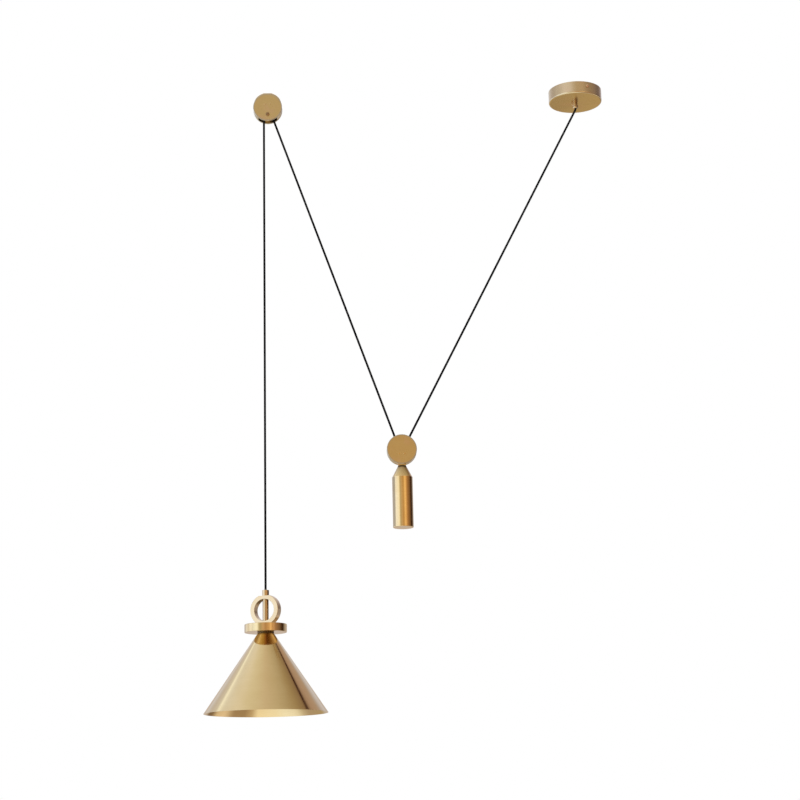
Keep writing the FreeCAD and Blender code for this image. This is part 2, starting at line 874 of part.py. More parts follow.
def build():
    for piece in (
        canopy_cup, ceiling_bracket, canopy_side_screws, cord_grip_body, cord_grip_nut,
        cord_grip_locknut, cord_grip_set_screw, terminal_block, terminal_screws,
        cord_canopy_lead, weight_body, weight_stud,
        ferrule, hanger_ring, ring_sleeve, centre_tube, top_disc, disc_base_plate,
        tube_locknut, cord_clamp, shade_collar, shade_cone, lamp_nipple, nipple_locknut,
        lampholder_cap, lampholder_skirt, lampholder_insert, lampholder_shell,
        lampholder_contact, lamp_leads,
    ):
        keep(piece.__name__, piece())
    pulley_unit("fixed", fixed_axle, fixed_axle_offset, False, True, True, fixed_slot)
    pulley_unit("weight", weight_axle, weight_axle_offset, True, False, False, weight_slot)
    keep("cord_canopy_run", cylinder(cord_radius, canopy_run_start, canopy_run_end))
    keep("cord_weight_wrap", cord_on_sheave(weight_axle, canopy_run_end, pulley_run_end, V(0, 0, -1)))
    keep("cord_pulley_run", cylinder(cord_radius, pulley_run_start, pulley_run_end))
    keep("cord_pulley_wrap", cord_on_sheave(fixed_axle, pulley_run_start, drop_start, Z))
    keep("cord_lamp_drop", cylinder(cord_radius, drop_end, drop_start))
    keep("cord_lamp_end", upright(cord_radius, lamp_x, cord_end_z, ferrule_top_z))


build()
print("nodes", len(made))
print("exit bend radius", round(exit_bend_radius, 2), "turn", round(math.degrees(exit_turn), 2))
print("canopy run", canopy_run_start, canopy_run_end, canopy_run_end.distanceToPoint(canopy_run_start))
print("pulley run", pulley_run_start, pulley_run_end, pulley_run_end.distanceToPoint(pulley_run_start))
print("drop", drop_start, drop_end)
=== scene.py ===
"""Looks of the rise and fall pendant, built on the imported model's frame. Metres, +Z up."""

import json
from math import asin, atan, atan2, cos, dist, hypot, pi, radians, sin, sqrt, tan

import bpy
from mathutils import Matrix, Vector


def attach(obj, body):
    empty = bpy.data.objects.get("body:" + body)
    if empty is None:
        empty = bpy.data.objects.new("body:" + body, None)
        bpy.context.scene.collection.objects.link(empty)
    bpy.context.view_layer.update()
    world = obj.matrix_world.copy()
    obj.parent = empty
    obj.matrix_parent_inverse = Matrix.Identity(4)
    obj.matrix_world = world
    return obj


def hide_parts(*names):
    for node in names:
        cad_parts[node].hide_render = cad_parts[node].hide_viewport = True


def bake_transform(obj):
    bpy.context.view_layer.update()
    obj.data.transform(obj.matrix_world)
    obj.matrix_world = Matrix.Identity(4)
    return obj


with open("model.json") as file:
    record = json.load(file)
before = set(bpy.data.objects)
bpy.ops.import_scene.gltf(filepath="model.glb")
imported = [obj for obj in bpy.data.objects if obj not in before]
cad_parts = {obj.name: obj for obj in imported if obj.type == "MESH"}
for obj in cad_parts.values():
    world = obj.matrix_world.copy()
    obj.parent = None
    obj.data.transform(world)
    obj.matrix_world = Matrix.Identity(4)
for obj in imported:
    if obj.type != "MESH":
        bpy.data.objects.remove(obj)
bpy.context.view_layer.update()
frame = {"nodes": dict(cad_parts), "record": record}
nodes = frame["nodes"]
scene = bpy.context.scene

# ---- sizes and places from the model, in millimetres ----
MM = 0.001
CANOPY_RADIUS, CANOPY_HEIGHT, CANOPY_WALL, CANOPY_ROLL = 58.0, 26.5, 1.5, 2.6
BRACKET_TURN = 21.0
SIDE_SCREW_DEPTH = 10.0
GRIP_RADIUS, GRIP_LENGTH = 5.1, 5.5
GRIP_NUT_RADIUS, GRIP_NUT_LENGTH = 5.9, 6.8
GRIP_BASE = -CANOPY_HEIGHT - GRIP_LENGTH
GRIP_MOUTH = GRIP_BASE - GRIP_NUT_LENGTH
GRIP_THREAD, GRIP_TAIL, GRIP_HOLE = 4.0, 3.5, 4.05       # its thread, what stands up inside, the cup's hole
GRIP_NECK, NUT_BORE, NUT_MOUTH, NUT_DEPTH = 3.2, 3.25, 2.3, 3.4
SET_SCREW_OUT = 2.2                      # from the grip's wall to the screw's head
CORD_HOLE = 2.25
NUT_GROOVE, NUT_GROOVE_DEPTH = (4.2, 4.9, 5.6, 6.2), 0.4 # heights over the nut's mouth

DISC_RADIUS, DISC_THICKNESS, DISC_GAP = 31.2, 3.5, 15.0
CHEEK_RADIUS = DISC_RADIUS + 0.2         # the cheeks' worn edges reach a little past the model's
INNER_FACE = DISC_GAP / 2
OUTER_FACE = INNER_FACE + DISC_THICKNESS
FIXED_AXLE = (-676.9, -50.2)
FIXED_DISC = (-676.9, -33.7)
WEIGHT_AXLE = (-399.6, -788.1)
WEIGHT_DISC = (-399.6, -802.1)
SCREW_RISE, SCREW_SPREAD = 23.7, 5.5     # from the axle to the block's screws
SCREW_HEAD, SCREW_SHANK, SCREW_CONE, SCREW_REACH = 3.8, 2.0, 1.8, 22.5
CHEEK_EDGE, BLOCK_INSET = 0.9, 0.3
# The blocks' closed ends, as half width and height over the disc's middle.
FIXED_END = (
    (8.4, 33.6), (9.8, 33.0), (14.4, 30.9), (18.2, 28.7), (21.0, 26.5), (23.2, 24.3), (24.8, 22.3),
    (26.1, 20.1), (27.5, 17.6), (28.6, 14.8), (29.4, 9.5),
)
WEIGHT_END = ((8.0, 33.7), (8.5, 33.2), (8.5, 29.7))
SLOT_END, SLOT_CORNER = 13.7, 3.0        # from the axle to the slot's end, and the radius there
FIXED_SLOT, WEIGHT_SLOT = 20.4, 24.0     # half the slots' widths
PITCH_RADIUS, WHEEL_RADIUS, GROOVE_RADIUS = 8.5, 10.2, 2.4
WHEEL_HALF, WHEEL_BORE, LIP_WIDTH = 7.0, 4.55, 2.5

WEIGHT_RADIUS, WEIGHT_NECK = 21.4, 8.0
WEIGHT_TOP, WEIGHT_SHOULDER, WEIGHT_BOTTOM = -835.8, -860.9, -966.7
DARK_BAND, DARK_BAND_END = 3.0, 5.0      # below the weight's top: where the painted shadow under the block starts to fade, and where it has faded

LAMP_X = -685.4
TUBE_HOLE = 5.05
FERRULE_RADIUS, FERRULE_TOP, FERRULE_BASE = 7.1, -1091.7, -1103.5
RING_RADIUS, RING_BORE, RING_HALF = 31.8, 22.3, 7.5
RING_CENTRE, RING_FLAT, RING_TURN = -1132.7, 29.2, 25.0
SLEEVE_RADIUS = 6.2
TUBE_BORE = 2.4
TOP_DISC_RADIUS, TOP_DISC_WALL, PLATE_THICKNESS = 43.3, 1.7, 1.75
DISC_TOP, DISC_BOTTOM = -1161.9, -1178.4
COLLAR_RADIUS = 17.0
SHADE_TOP, SHADE_RIM = -1180.0, -1341.2
SHADE_TOP_RADIUS, SHADE_RIM_RADIUS, SHADE_WALL = 16.4, 126.2, 0.7
PAINTED_SHADE_DEPTH = 1.5                         # how far down the shade's top edge has painted shade

# ---- camera, solved from the photograph ----
LENS = 79.585
CAMERA_AT = Vector((-0.5165, -3.6256, -1.5690))
YAW, PITCH, ROLL = (radians(a) for a in (1.826, 13.556, -1.26))


def new_object(name, data):
    made = bpy.data.objects.new(name, data)
    scene.collection.objects.link(made)
    return made


def add_camera():
    ahead = Vector((sin(YAW) * cos(PITCH), cos(YAW) * cos(PITCH), sin(PITCH)))
    right = Vector((cos(YAW), -sin(YAW), 0))
    up = right.cross(ahead)
    across, upward = right * cos(ROLL) + up * sin(ROLL), up * cos(ROLL) - right * sin(ROLL)
    data = bpy.data.cameras.new("camera")
    data.lens = LENS
    data.sensor_width = 36.0
    data.clip_start = 0.05
    data.clip_end = 400.0
    camera = new_object("camera", data)
    turn = Matrix((across, upward, -ahead)).transposed().to_4x4()
    camera.matrix_world = Matrix.Translation(CAMERA_AT) @ turn
    scene.camera = camera


# ---- node helpers ----
def add(tree, kind, inputs=(), **settings):
    """A shader node with its settings, and its inputs set or linked."""
    node = tree.nodes.new("ShaderNode" + kind)
    for key, value in settings.items():
        setattr(node, key, value)
    for key, value in dict(inputs).items():
        if isinstance(value, bpy.types.NodeSocket):
            tree.links.new(value, node.inputs[key])
        else:
            node.inputs[key].default_value = value
    return node


def calc(tree, operation, a, b=0.0, c=0.0):
    return add(tree, "Math", {0: a, 1: b, 2: c}, operation=operation).outputs[0]


def mapped(tree, value, low, high, to_low=0.0, to_high=1.0, smooth=False):
    kind = "SMOOTHSTEP" if smooth else "LINEAR"
    node = add(tree, "MapRange", {0: value, 1: low, 2: high, 3: to_low, 4: to_high}, interpolation_type=kind)
    return node.outputs[0]


def mixed(tree, share, a, b):
    return add(tree, "Mix", {0: share, 6: a, 7: b}, data_type="RGBA").outputs[2]


def scaled(tree, vector, factors):
    return add(tree, "VectorMath", {0: vector, 1: factors}, operation="MULTIPLY").outputs[0]


def noise(tree, vector, scale, detail=3.0, roughness=0.5, distortion=0.0):
    inputs = dict(Vector=vector, Scale=scale, Detail=detail, Roughness=roughness, Distortion=distortion)
    return add(tree, "TexNoise", inputs).outputs[0]


def new_material(name):
    """A material, its tree, its shader and the place on the object that its patterns follow."""
    material = bpy.data.materials.new(name)
    material.use_nodes = True
    tree = material.node_tree
    return material, tree, tree.nodes["Principled BSDF"], add(tree, "TexCoord").outputs["Object"]


def set_shader(shader, **values):
    for key, value in values.items():
        shader.inputs[key.replace("_", " ")].default_value = value


def finish_shader(tree, shader, base, rough, relief, strength, distance):
    """Links colour, roughness and relief; the relief's height is distance, in metres."""
    bump = add(tree, "Bump", {"Height": relief, "Strength": strength, "Distance": distance})
    for key, value in (("Base Color", base), ("Roughness", rough), ("Normal", bump.outputs[0])):
        tree.links.new(value, shader.inputs[key])


def rgba(colour, factor=1.0):
    return (colour[0] * factor, colour[1] * factor, colour[2] * factor, 1.0)


# ---- materials ----
# Scales of the fine lines and of the bands, along and across them, on turned and on brushed brass.
TURNED_LINES, TURNED_BANDS = (1.6, 1.6, 9000.0), (0.8, 0.8, 420.0)
BRUSHED_LINES, BRUSHED_BANDS = (60.0, 5200.0, 5200.0), (40.0, 420.0, 420.0)


def brass_tone(tree, place, bands, cloud, smudge, colour, deep, blush):
    """Base colour: slow changes between two tones, darker bands and smudges, and pinkish patches."""
    tone = mapped(tree, cloud, 0.35, 0.68, smooth=True)
    base = mixed(tree, calc(tree, "MULTIPLY", tone, 0.42), rgba(colour), rgba(deep))
    base = mixed(tree, mapped(tree, bands, 0.3, 0.7, 0.0, 0.16), base, rgba(deep, 0.92))
    base = mixed(tree, mapped(tree, smudge, 0.62, 0.8, 0.0, 0.22, True), base, rgba(deep, 0.85))
    if not blush:
        return base
    patches = noise(tree, place, 34.0, 2.0, 0.5, 0.2)
    return mixed(tree, mapped(tree, patches, 0.48, 0.66, 0.0, blush, True), base, rgba(BLUSH_BRASS))


def brass_wear_and_shade(tree, around, base, rough, rim):
    """Base colour and roughness with brighter worn edges, a painted dark band at the rim, and painted shade
    where marked.
    """
    edge = add(tree, "Attribute", attribute_name="edge").outputs["Fac"]
    painted_shade = add(tree, "Attribute", attribute_name="painted_shade").outputs["Fac"]
    base = mixed(tree, calc(tree, "MULTIPLY", edge, 0.35), base, rgba(WORN_BRASS))
    # A painted darker band near the face's rim, standing for the reflection of a rounded edge.
    if rim:
        out = add(tree, "SeparateXYZ", {0: around}).outputs[2]
        band = mapped(tree, out, rim - 0.0012, rim + 0.0006, 0.0, 0.75, True)
        base = mixed(tree, band, base, rgba(RIM_SHADE_BRASS))
    rough = calc(tree, "MULTIPLY_ADD", edge, -0.05, rough)
    # Painted shade where marked: the colour turns dark brown and the surface rougher.
    return mixed(tree, painted_shade, base, rgba(PAINTED_SHADE_BRASS)), mapped(tree, painted_shade, 0.0, 1.0, rough, 0.55)


def brass(name, colour, roughness, deep, grain=0.5, turned=True, haze=0.05, anisotropic=0.0, blush=0.0,
          rim=None):
    """Solid brass with turning or brushing lines, slow changes of tone, smudges and brighter edges.

    turned reads the coordinates that lathe() writes; otherwise the lines run along the object's X.
    blush gives pinkish patches, rim the radius in metres outside which a flat face gets a painted darker
    band, standing for the reflection of a rounded edge."""
    material, tree, shader, place = new_material(name)
    around = add(tree, "Attribute", attribute_name="turn").outputs["Vector"] if turned else place
    line_scale, band_scale = (TURNED_LINES, TURNED_BANDS) if turned else (BRUSHED_LINES, BRUSHED_BANDS)
    lines = noise(tree, scaled(tree, around, line_scale), 1.0, 2.0)
    bands = noise(tree, scaled(tree, around, band_scale), 1.0, 3.0)
    cloud = noise(tree, place, 21.0, 4.0, 0.55, 0.4)
    smudge = noise(tree, place, 85.0, 5.0, 0.65, 0.8)
    base = brass_tone(tree, place, bands, cloud, smudge, colour, deep, blush)
    rough = calc(tree, "MULTIPLY_ADD", lines, 0.10 * grain, roughness - 0.05 * grain)
    rough = calc(tree, "ADD", rough, mapped(tree, smudge, 0.5, 0.8, 0.0, haze))
    rough = calc(tree, "ADD", rough, mapped(tree, cloud, 0.3, 0.7, -0.02, 0.02))
    if turned:
        base, rough = brass_wear_and_shade(tree, around, base, rough, rim)
    relief = calc(tree, "MULTIPLY_ADD", bands, 0.6, lines)
    finish_shader(tree, shader, base, rough, relief, 0.10 * grain, 0.00004)
    set_shader(shader, Metallic=1.0, Anisotropic=anisotropic)
    if anisotropic:
        tangent = add(tree, "Tangent", direction_type="UV_MAP", uv_map="UVMap")
        tree.links.new(tangent.outputs[0], shader.inputs["Tangent"])
    return material


def plated_steel(name):
    """Zinc plated steel: grey metal with a fine spangle and rolled lines."""
    material, tree, shader, place = new_material(name)
    spangle = add(tree, "TexVoronoi", {"Vector": place, "Scale": 420.0})
    streak = noise(tree, scaled(tree, place, (3800.0, 260.0, 260.0)), 1.0, 3.0)
    cloud = noise(tree, place, 60.0, 4.0)
    base = mixed(tree, mapped(tree, spangle.outputs["Color"], 0.0, 1.0, 0.0, 0.5),
                 rgba((0.56, 0.57, 0.58)), rgba((0.44, 0.46, 0.49)))
    base = mixed(tree, mapped(tree, cloud, 0.4, 0.75, 0.0, 0.4), base, rgba((0.50, 0.46, 0.38)))
    rough = mapped(tree, streak, 0.2, 0.8, 0.28, 0.46)
    finish_shader(tree, shader, base, rough, streak, 0.12, 0.00005)
    set_shader(shader, Metallic=1.0)
    return material


def moulded(name, colour, roughness, pale=(0.5, 0.5, 0.5), grain=900.0, coat=0.0):
    """Moulded plastic or glazed ceramic: fine grain, slow changes of tone, dust in the hollows."""
    material, tree, shader, place = new_material(name)
    pits = noise(tree, place, grain, 4.0, 0.6)
    cloud = noise(tree, place, 45.0, 4.0)
    base = mixed(tree, mapped(tree, cloud, 0.35, 0.75, 0.0, 0.12, True), rgba(colour), rgba(pale))
    base = mixed(tree, mapped(tree, pits, 0.55, 0.8, 0.0, 0.10), base, rgba(colour, 0.7))
    rough = mapped(tree, pits, 0.3, 0.7, roughness - 0.06, roughness + 0.08)
    finish_shader(tree, shader, base, rough, pits, 0.15, 0.00006)
    set_shader(shader, Coat_Weight=coat)
    return material


BRAID_STRANDS = 8.0        # crossings round the cord
BRAID_PITCH = 0.0042       # metres of cord in which a strand goes one crossing on


def braided(name, colour, pale):
    """Braided textile: two sets of strands that cross over and under, read from the cord's UV map."""
    material, tree, shader, place = new_material(name)
    uv = add(tree, "SeparateXYZ", {0: add(tree, "TexCoord").outputs["UV"]})
    round_it = calc(tree, "MULTIPLY", uv.outputs[0], BRAID_STRANDS)
    onward = calc(tree, "DIVIDE", uv.outputs[1], BRAID_PITCH)
    left = calc(tree, "ADD", round_it, onward)
    right = calc(tree, "SUBTRACT", round_it, onward)

    def strand(phase):
        return calc(tree, "ABSOLUTE", calc(tree, "SINE", calc(tree, "MULTIPLY", phase, pi)))

    cell = calc(tree, "ADD", calc(tree, "FLOOR", left), calc(tree, "FLOOR", right))
    over = calc(tree, "PINGPONG", cell, 1.0)
    height = add(tree, "Mix", {0: over, 2: strand(left), 3: strand(right)}).outputs[0]
    fuzz = noise(tree, place, 2600.0, 3.0, 0.7)
    cloud = noise(tree, place, 70.0, 3.0)
    # Painted shade: the braid is darker where a strand dips between crossings.
    base = mixed(tree, height, rgba(colour, 0.4), rgba(colour))
    base = mixed(tree, mapped(tree, fuzz, 0.5, 0.8, 0.0, 0.35), base, rgba(pale))
    base = mixed(tree, mapped(tree, cloud, 0.4, 0.7, 0.0, 0.2), base, rgba(colour, 0.6))
    rough = mapped(tree, fuzz, 0.3, 0.7, 0.74, 0.92)
    relief = calc(tree, "MULTIPLY_ADD", fuzz, 0.25, height)
    finish_shader(tree, shader, base, rough, relief, 0.35, 0.0002)
    set_shader(shader, Sheen_Weight=0.01, Sheen_Roughness=0.5, Specular_IOR_Level=0.0)
    return material


PALE_BRASS = (0.80, 0.61, 0.31)
DEEP_BRASS = (0.70, 0.48, 0.20)
WORN_BRASS = (0.93, 0.80, 0.52)
BLUSH_BRASS = (0.80, 0.56, 0.38)
PAINTED_SHADE_BRASS = (0.09, 0.055, 0.025)
RIM_SHADE_BRASS = (0.54, 0.52, 0.43)

# slot: colour, roughness, deeper colour, and what else the brass takes
BRASSES = {
    "canopy_brass": ((0.75, 0.61, 0.36), 0.20, (0.67, 0.51, 0.27), dict(grain=0.2, haze=0.06, blush=0.3)),
    # disc_brass's rim band is painted: a darker ring that stands for the reflection of a rounded edge.
    "disc_brass": ((0.73, 0.585, 0.28), 0.30, (0.68, 0.515, 0.23),
                   dict(grain=0.8, haze=0.08, blush=0.45, rim=0.0294)),
    "turned_brass": (PALE_BRASS, 0.13, DEEP_BRASS, dict(anisotropic=0.3)),
    "bush_brass": ((0.82, 0.62, 0.31), 0.26, (0.60, 0.41, 0.18), dict(grain=0.9)),
    "lamp_brass": (PALE_BRASS, 0.12, DEEP_BRASS, dict(anisotropic=0.3)),
    "ring_brass": ((0.76, 0.58, 0.34), 0.18, (0.70, 0.51, 0.27), dict(grain=0.6, haze=0.06)),
    "shade_brass": ((0.81, 0.64, 0.355), 0.09, (0.75, 0.57, 0.285), dict(haze=0.04)),
    "contact_brass": ((0.78, 0.62, 0.33), 0.22, (0.66, 0.47, 0.22), dict()),
}
MATERIALS = {slot: brass(slot, *row[:3], **row[3]) for slot, row in BRASSES.items()}
MATERIALS |= {
    "axle_bronze": brass("axle_bronze", (0.42, 0.28, 0.15), 0.38, (0.30, 0.19, 0.10), 0.8),
    # A lighter copy of the canopy's brass: painted light on the grip.
    "grip_lit_brass": brass("grip_lit_brass", (0.88, 0.70, 0.48), 0.22, (0.82, 0.62, 0.40), 0.4),
    "screw_brass": brass("screw_brass", (0.78, 0.54, 0.36), 0.30, (0.70, 0.46, 0.28), 0.8),
    "zinc_steel": plated_steel("zinc_steel"),
    "terminal_plastic": moulded("terminal_plastic", (0.62, 0.60, 0.54), 0.45),
    "holder_plastic": moulded("holder_plastic", (0.012, 0.012, 0.013), 0.34, (0.10, 0.10, 0.10)),
    "holder_ceramic": moulded("holder_ceramic", (0.74, 0.71, 0.64), 0.22, (0.60, 0.55, 0.46), 500.0, 0.5),
    "lead_plastic": moulded("lead_plastic", (0.20, 0.06, 0.03), 0.42, (0.30, 0.20, 0.16)),
    "cord_textile": braided("cord_textile", (0.011, 0.0105, 0.011), (0.022, 0.021, 0.021)),
}
# The model's own nodes have no turned coordinates, so their brass is brushed.
NODE_MATERIALS = MATERIALS | {
    slot: brass(slot + "_brushed", *row[:3], **(row[3] | dict(turned=False, anisotropic=0.0, rim=None)))
    for slot, row in BRASSES.items()
}


# ---- meshes ----
CREASE = radians(40)


def rounded_corner(here, back, ahead, radius, steps):
    """Points round the corner here; back and ahead lead to its neighbours, and the ends ease into them."""
    half = back.angle(ahead) / 2
    way_back, way_ahead = back.normalized(), ahead.normalized()
    reach = min(radius / tan(half), 0.45 * back.length, 0.45 * ahead.length)
    radius = reach * tan(half)
    centre = here + (way_back + way_ahead).normalized() * (radius / sin(half))
    start, end = here + way_back * reach - centre, here + way_ahead * reach - centre
    turn = pi - 2 * half if start.cross(end) > 0 else 2 * half - pi
    made = [(*(centre + start + way_back * min(0.35 * radius + 0.1, 0.25 * back.length)), 0.0)]
    for step in range(steps + 1):
        angle = turn * step / steps
        x = start.x * cos(angle) - start.y * sin(angle)
        y = start.x * sin(angle) + start.y * cos(angle)
        made.append((*(centre + Vector((x, y))), 1.0))
    made.append((*(centre + end + way_ahead * min(0.35 * radius + 0.1, 0.25 * ahead.length)), 0.0))
    return made


def rounded(profile, steps=5):
    """Corner points (r, h[, radius]) as (r, h, is_edge) points, closed, with each radius turned in steps."""
    made = []
    for n, (x, y, *radius) in enumerate(profile):
        here = Vector((x, y))
        if radius and radius[0] > 0:
            back = Vector(profile[n - 1][:2]) - here
            ahead = Vector(profile[(n + 1) % len(profile)][:2]) - here
            made += rounded_corner(here, back, ahead, radius[0], steps)
        else:
            made.append((*here, 0.0))
    return made


def standing(x):
    """Frame of a piece that turns about the vertical at x."""
    return Matrix.Translation((x, 0, 0))


def along(origin, axis):
    """Frame of a piece that turns about an axis through origin."""
    return Matrix.Translation(origin) @ Vector(axis).to_track_quat("Z", "Y").to_matrix().to_4x4()


def through(centre):
    """Frame of a piece that turns about the view axis at centre (x, z); its heights run along +Y."""
    return along((centre[0], 0, centre[1]), (0, 1, 0))


def new_mesh(name, verts, faces, uvs=()):
    mesh = bpy.data.meshes.new(name)
    mesh.from_pydata(verts, [], faces)
    if uvs:
        layer = mesh.uv_layers.new(name="UVMap")
        layer.data.foreach_set("uv", [x for uv in uvs for x in uv])
    return mesh


def give_values(mesh, name, values):
    mesh.attributes.new(name, "FLOAT", "POINT").data.foreach_set("value", values)


def give_vectors(mesh, name, vectors):
    layer = mesh.attributes.new(name, "FLOAT_VECTOR", "POINT")
    layer.data.foreach_set("vector", [x for v in vectors for x in v])


def turned_rows(points, run, stand, segments, shape):
    """Vertices in rows round the axis, each with its turned coordinates and its edge mark."""
    verts, turns, edges, rows = [], [], [], []
    for (radius, height, edge), length in zip(points, run):
        row = []
        for n in range(1 if radius < 1e-6 else segments):
            a = 2 * pi * n / segments
            spot = stand @ Vector((radius * cos(a), radius * sin(a), height))
            if shape:
                spot = Vector(shape(*spot))
            row.append(len(verts))
            verts.append(spot * MM)
            turns.append((cos(a), sin(a), length * MM))
            edges.append(edge)
        rows.append(row)
    return verts, turns, edges, rows


def skin(rows, run, segments, closed):
    """Faces between neighbouring rows, and their UV map: round the axis and, in metres, along the profile."""
    faces, uvs = [], []
    for n in range(len(rows) if closed else len(rows) - 1):
        low, high = rows[n], rows[(n + 1) % len(rows)]
        if len(low) == 1 and len(high) == 1:
            continue
        for s in range(segments):
            t = (s + 1) % segments
            u, w = s / segments, (s + 1) / segments
            face = [low[s % len(low)], low[t % len(low)], high[t % len(high)], high[s % len(high)]]
            corners = [(u, run[n]), (w, run[n]), (w, run[n + 1]), (u, run[n + 1])]
            if len(low) == 1:
                face, corners = face[:1] + face[2:], corners[:1] + corners[2:]
            elif len(high) == 1:
                face, corners = face[:3], corners[:3]
            faces.append(face)
            uvs += [(x, y * MM) for x, y in corners]
    return faces, uvs


def lathe(name, profile, stand, slot, segments=160, closed=True, steps=5, shape=None, look=None):
    """A turned piece from its (radius, height, corner radius) profile, in the frame stand, in millimetres.

    shape(x, y, z) may move the finished points. look is a material other than the slot's own."""
    points = rounded(profile, steps)
    run = [0.0]
    for a, b in zip(points, points[1:] + points[:1]):
        run.append(run[-1] + dist(a[:2], b[:2]))
    verts, turns, edges, rows = turned_rows(points, run, stand, segments, shape)
    mesh = new_mesh(name, verts, *skin(rows, run, segments, closed))
    give_vectors(mesh, "turn", turns)
    give_values(mesh, "edge", edges)
    return finish_mesh(name, mesh, slot, look)


def finish_mesh(name, mesh, slot, look=None):
    """Turns the faces outwards, shades them smooth with sharp creases, and gives the material."""
    piece = new_object(name, mesh)
    mesh.validate()
    if signed_volume(mesh) < 0:
        mesh.flip_normals()
    smooth(mesh)
    mesh.materials.append(MATERIALS[look or slot])
    return piece


def smooth(mesh):
    mesh.polygons.foreach_set("use_smooth", [True] * len(mesh.polygons))
    mesh.set_sharp_from_angle(angle=CREASE)


def cut_away(piece, cutter):
    """Takes the cutter's solid out of the piece and deletes the cutter."""
    modifier = piece.modifiers.new("cut", "BOOLEAN")
    modifier.object = cutter
    modifier.operation = "DIFFERENCE"
    modifier.solver = "EXACT"
    view = bpy.context.evaluated_depsgraph_get()
    result = piece.evaluated_get(view)
    mesh = bpy.data.meshes.new_from_object(result, preserve_all_data_layers=True, depsgraph=view)
    piece.modifiers.clear()
    piece.data = mesh
    smooth(mesh)
    bpy.data.objects.remove(cutter)


BOX_FACES = ((0, 1, 3, 2), (4, 6, 7, 5), (0, 4, 5, 1), (2, 3, 7, 6), (0, 2, 6, 4), (1, 5, 7, 3))


def cutting_block(stand, size, turn):
    """A box of this size, centred on the frame's origin and turned about its axis, to cut with."""
    corners = [(x, y, z) for x in (-0.5, 0.5) for y in (-0.5, 0.5) for z in (-0.5, 0.5)]
    spin = stand @ Matrix.Rotation(radians(turn), 4, "Z") @ Matrix.Diagonal((*size, 1))
    return new_object("cutter", new_mesh("cutter", [(spin @ Vector(c)) * MM for c in corners], BOX_FACES))


def mark_painted_shade(piece, shade_at):
    """Marks each point's painted shade, given by the function of (x, y, z) in millimetres, from 0 none to 1
    darkest and roughest.
    """
    give_values(piece.data, "painted_shade", [float(shade_at(*(v.co / MM))) for v in piece.data.vertices])


def clamped(value):
    return min(1.0, max(0.0, value))


def signed_volume(mesh):
    middle = sum((v.co for v in mesh.vertices), Vector()) / len(mesh.vertices)
    total = 0.0
    for face in mesh.polygons:
        total += (face.center - middle).dot(face.normal) * face.area
    return total


def stands_for(piece, body, *names):
    """piece moves with body and is shown in place of the named nodes."""
    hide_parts(*names)
    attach(piece, body)


# ---- the cord ----
CORD_RADIUS = 2.3          # its braid stands a little proud of the model's plain cord
CORD_SIDES, CORD_STEP, ARC_STEP = 24, 6.0, 0.8
LEAD_LENGTH, UNDER_LENGTH, OVER_LENGTH = 60.0, 24.0, 20.0   # for the braid: before the runs, round the wheels
CANOPY_RUN = (Vector((-1.436, 0, -44.647)), Vector((-392.067, 0, -792.037)))
PULLEY_RUN = (Vector((-668.881, 0, -47.382)), Vector((-407.619, 0, -790.918)))
LAMP_DROP = (Vector((LAMP_X, 0, FIXED_AXLE[1])), Vector((LAMP_X, 0, FERRULE_TOP)))
# A taut run is cut at these shares of its length, so that it stays straight while one end moves.
RUN_SHARES = (0.0, 0.02, 0.06, 0.15, 0.35, 0.65, 0.85, 0.94, 0.98, 1.0)


def tube(name, points, start_length, side=(0, 1, 0)):
    """Cord along points in millimetres, with its braid's UV map in metres; side lies across its start.

    start_length is the length of cord before it, which carries the braid on."""
    verts, faces, uvs, run = [], [], [], start_length
    side = Vector(side)
    for n, point in enumerate(points):
        before, after = points[max(n - 1, 0)], points[min(n + 1, len(points) - 1)]
        ahead = (after - before).normalized()
        side = (side - ahead * side.dot(ahead)).normalized()
        up = side.cross(ahead)
        for s in range(CORD_SIDES):
            a = 2 * pi * s / CORD_SIDES
            verts.append((point + (side * cos(a) + up * sin(a)) * CORD_RADIUS) * MM)
        if n == 0:
            continue
        low, high = (n - 1) * CORD_SIDES, n * CORD_SIDES
        start, run = run, run + (point - points[n - 1]).length
        for s in range(CORD_SIDES):
            t = (s + 1) % CORD_SIDES
            u, w = s / CORD_SIDES, (s + 1) / CORD_SIDES
            faces.append((low + s, low + t, high + t, high + s))
            uvs += [(u, start * MM), (w, start * MM), (w, run * MM), (u, run * MM)]
    piece = finish_mesh(name, new_mesh(name, verts, faces, uvs), "cord_textile")
    piece.visible_glossy = False         # satin brass shows no image of a thing so thin
    return piece


def between(start, end, spacing):
    count = max(2, round((end - start).length / spacing))
    return [start.lerp(end, n / count) for n in range(count + 1)]


def taut_run(name, ends, start_length):
    """A slanting run, held by the ceiling mount at its start and by the counterweight at its end."""
    start, end = ends
    length = (end - start).length
    for n, (low, high) in enumerate(zip(RUN_SHARES, RUN_SHARES[1:])):
        near, far = start.lerp(end, low), start.lerp(end, high)
        piece = tube(f"{name}_{n + 1}", between(near, far, CORD_STEP), start_length + low * length)
        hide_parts(name)
        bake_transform(piece)


def arc(centre, start, end, way):
    """Points round centre (x, z) from start to end; way +1 turns from +X towards +Z."""
    middle = Vector((centre[0], 0, centre[1]))
    radius = (start - middle).length
    a = atan2(start.z - middle.z, start.x - middle.x)
    b = atan2(end.z - middle.z, end.x - middle.x)
    turn = (b - a) % (2 * pi) if way > 0 else -((a - b) % (2 * pi))
    count = max(4, round(abs(turn) * radius / ARC_STEP))
    angles = [a + turn * n / count for n in range(count + 1)]
    return [middle + Vector((cos(t), 0, sin(t))) * radius for t in angles]


EXIT_BEND_RADIUS = 12.625
LEAD_BEND = 12.6
WIRE_DEPTH = 7.0
LEAD_END = 16.1            # from the canopy's middle to the cord's end in the terminals


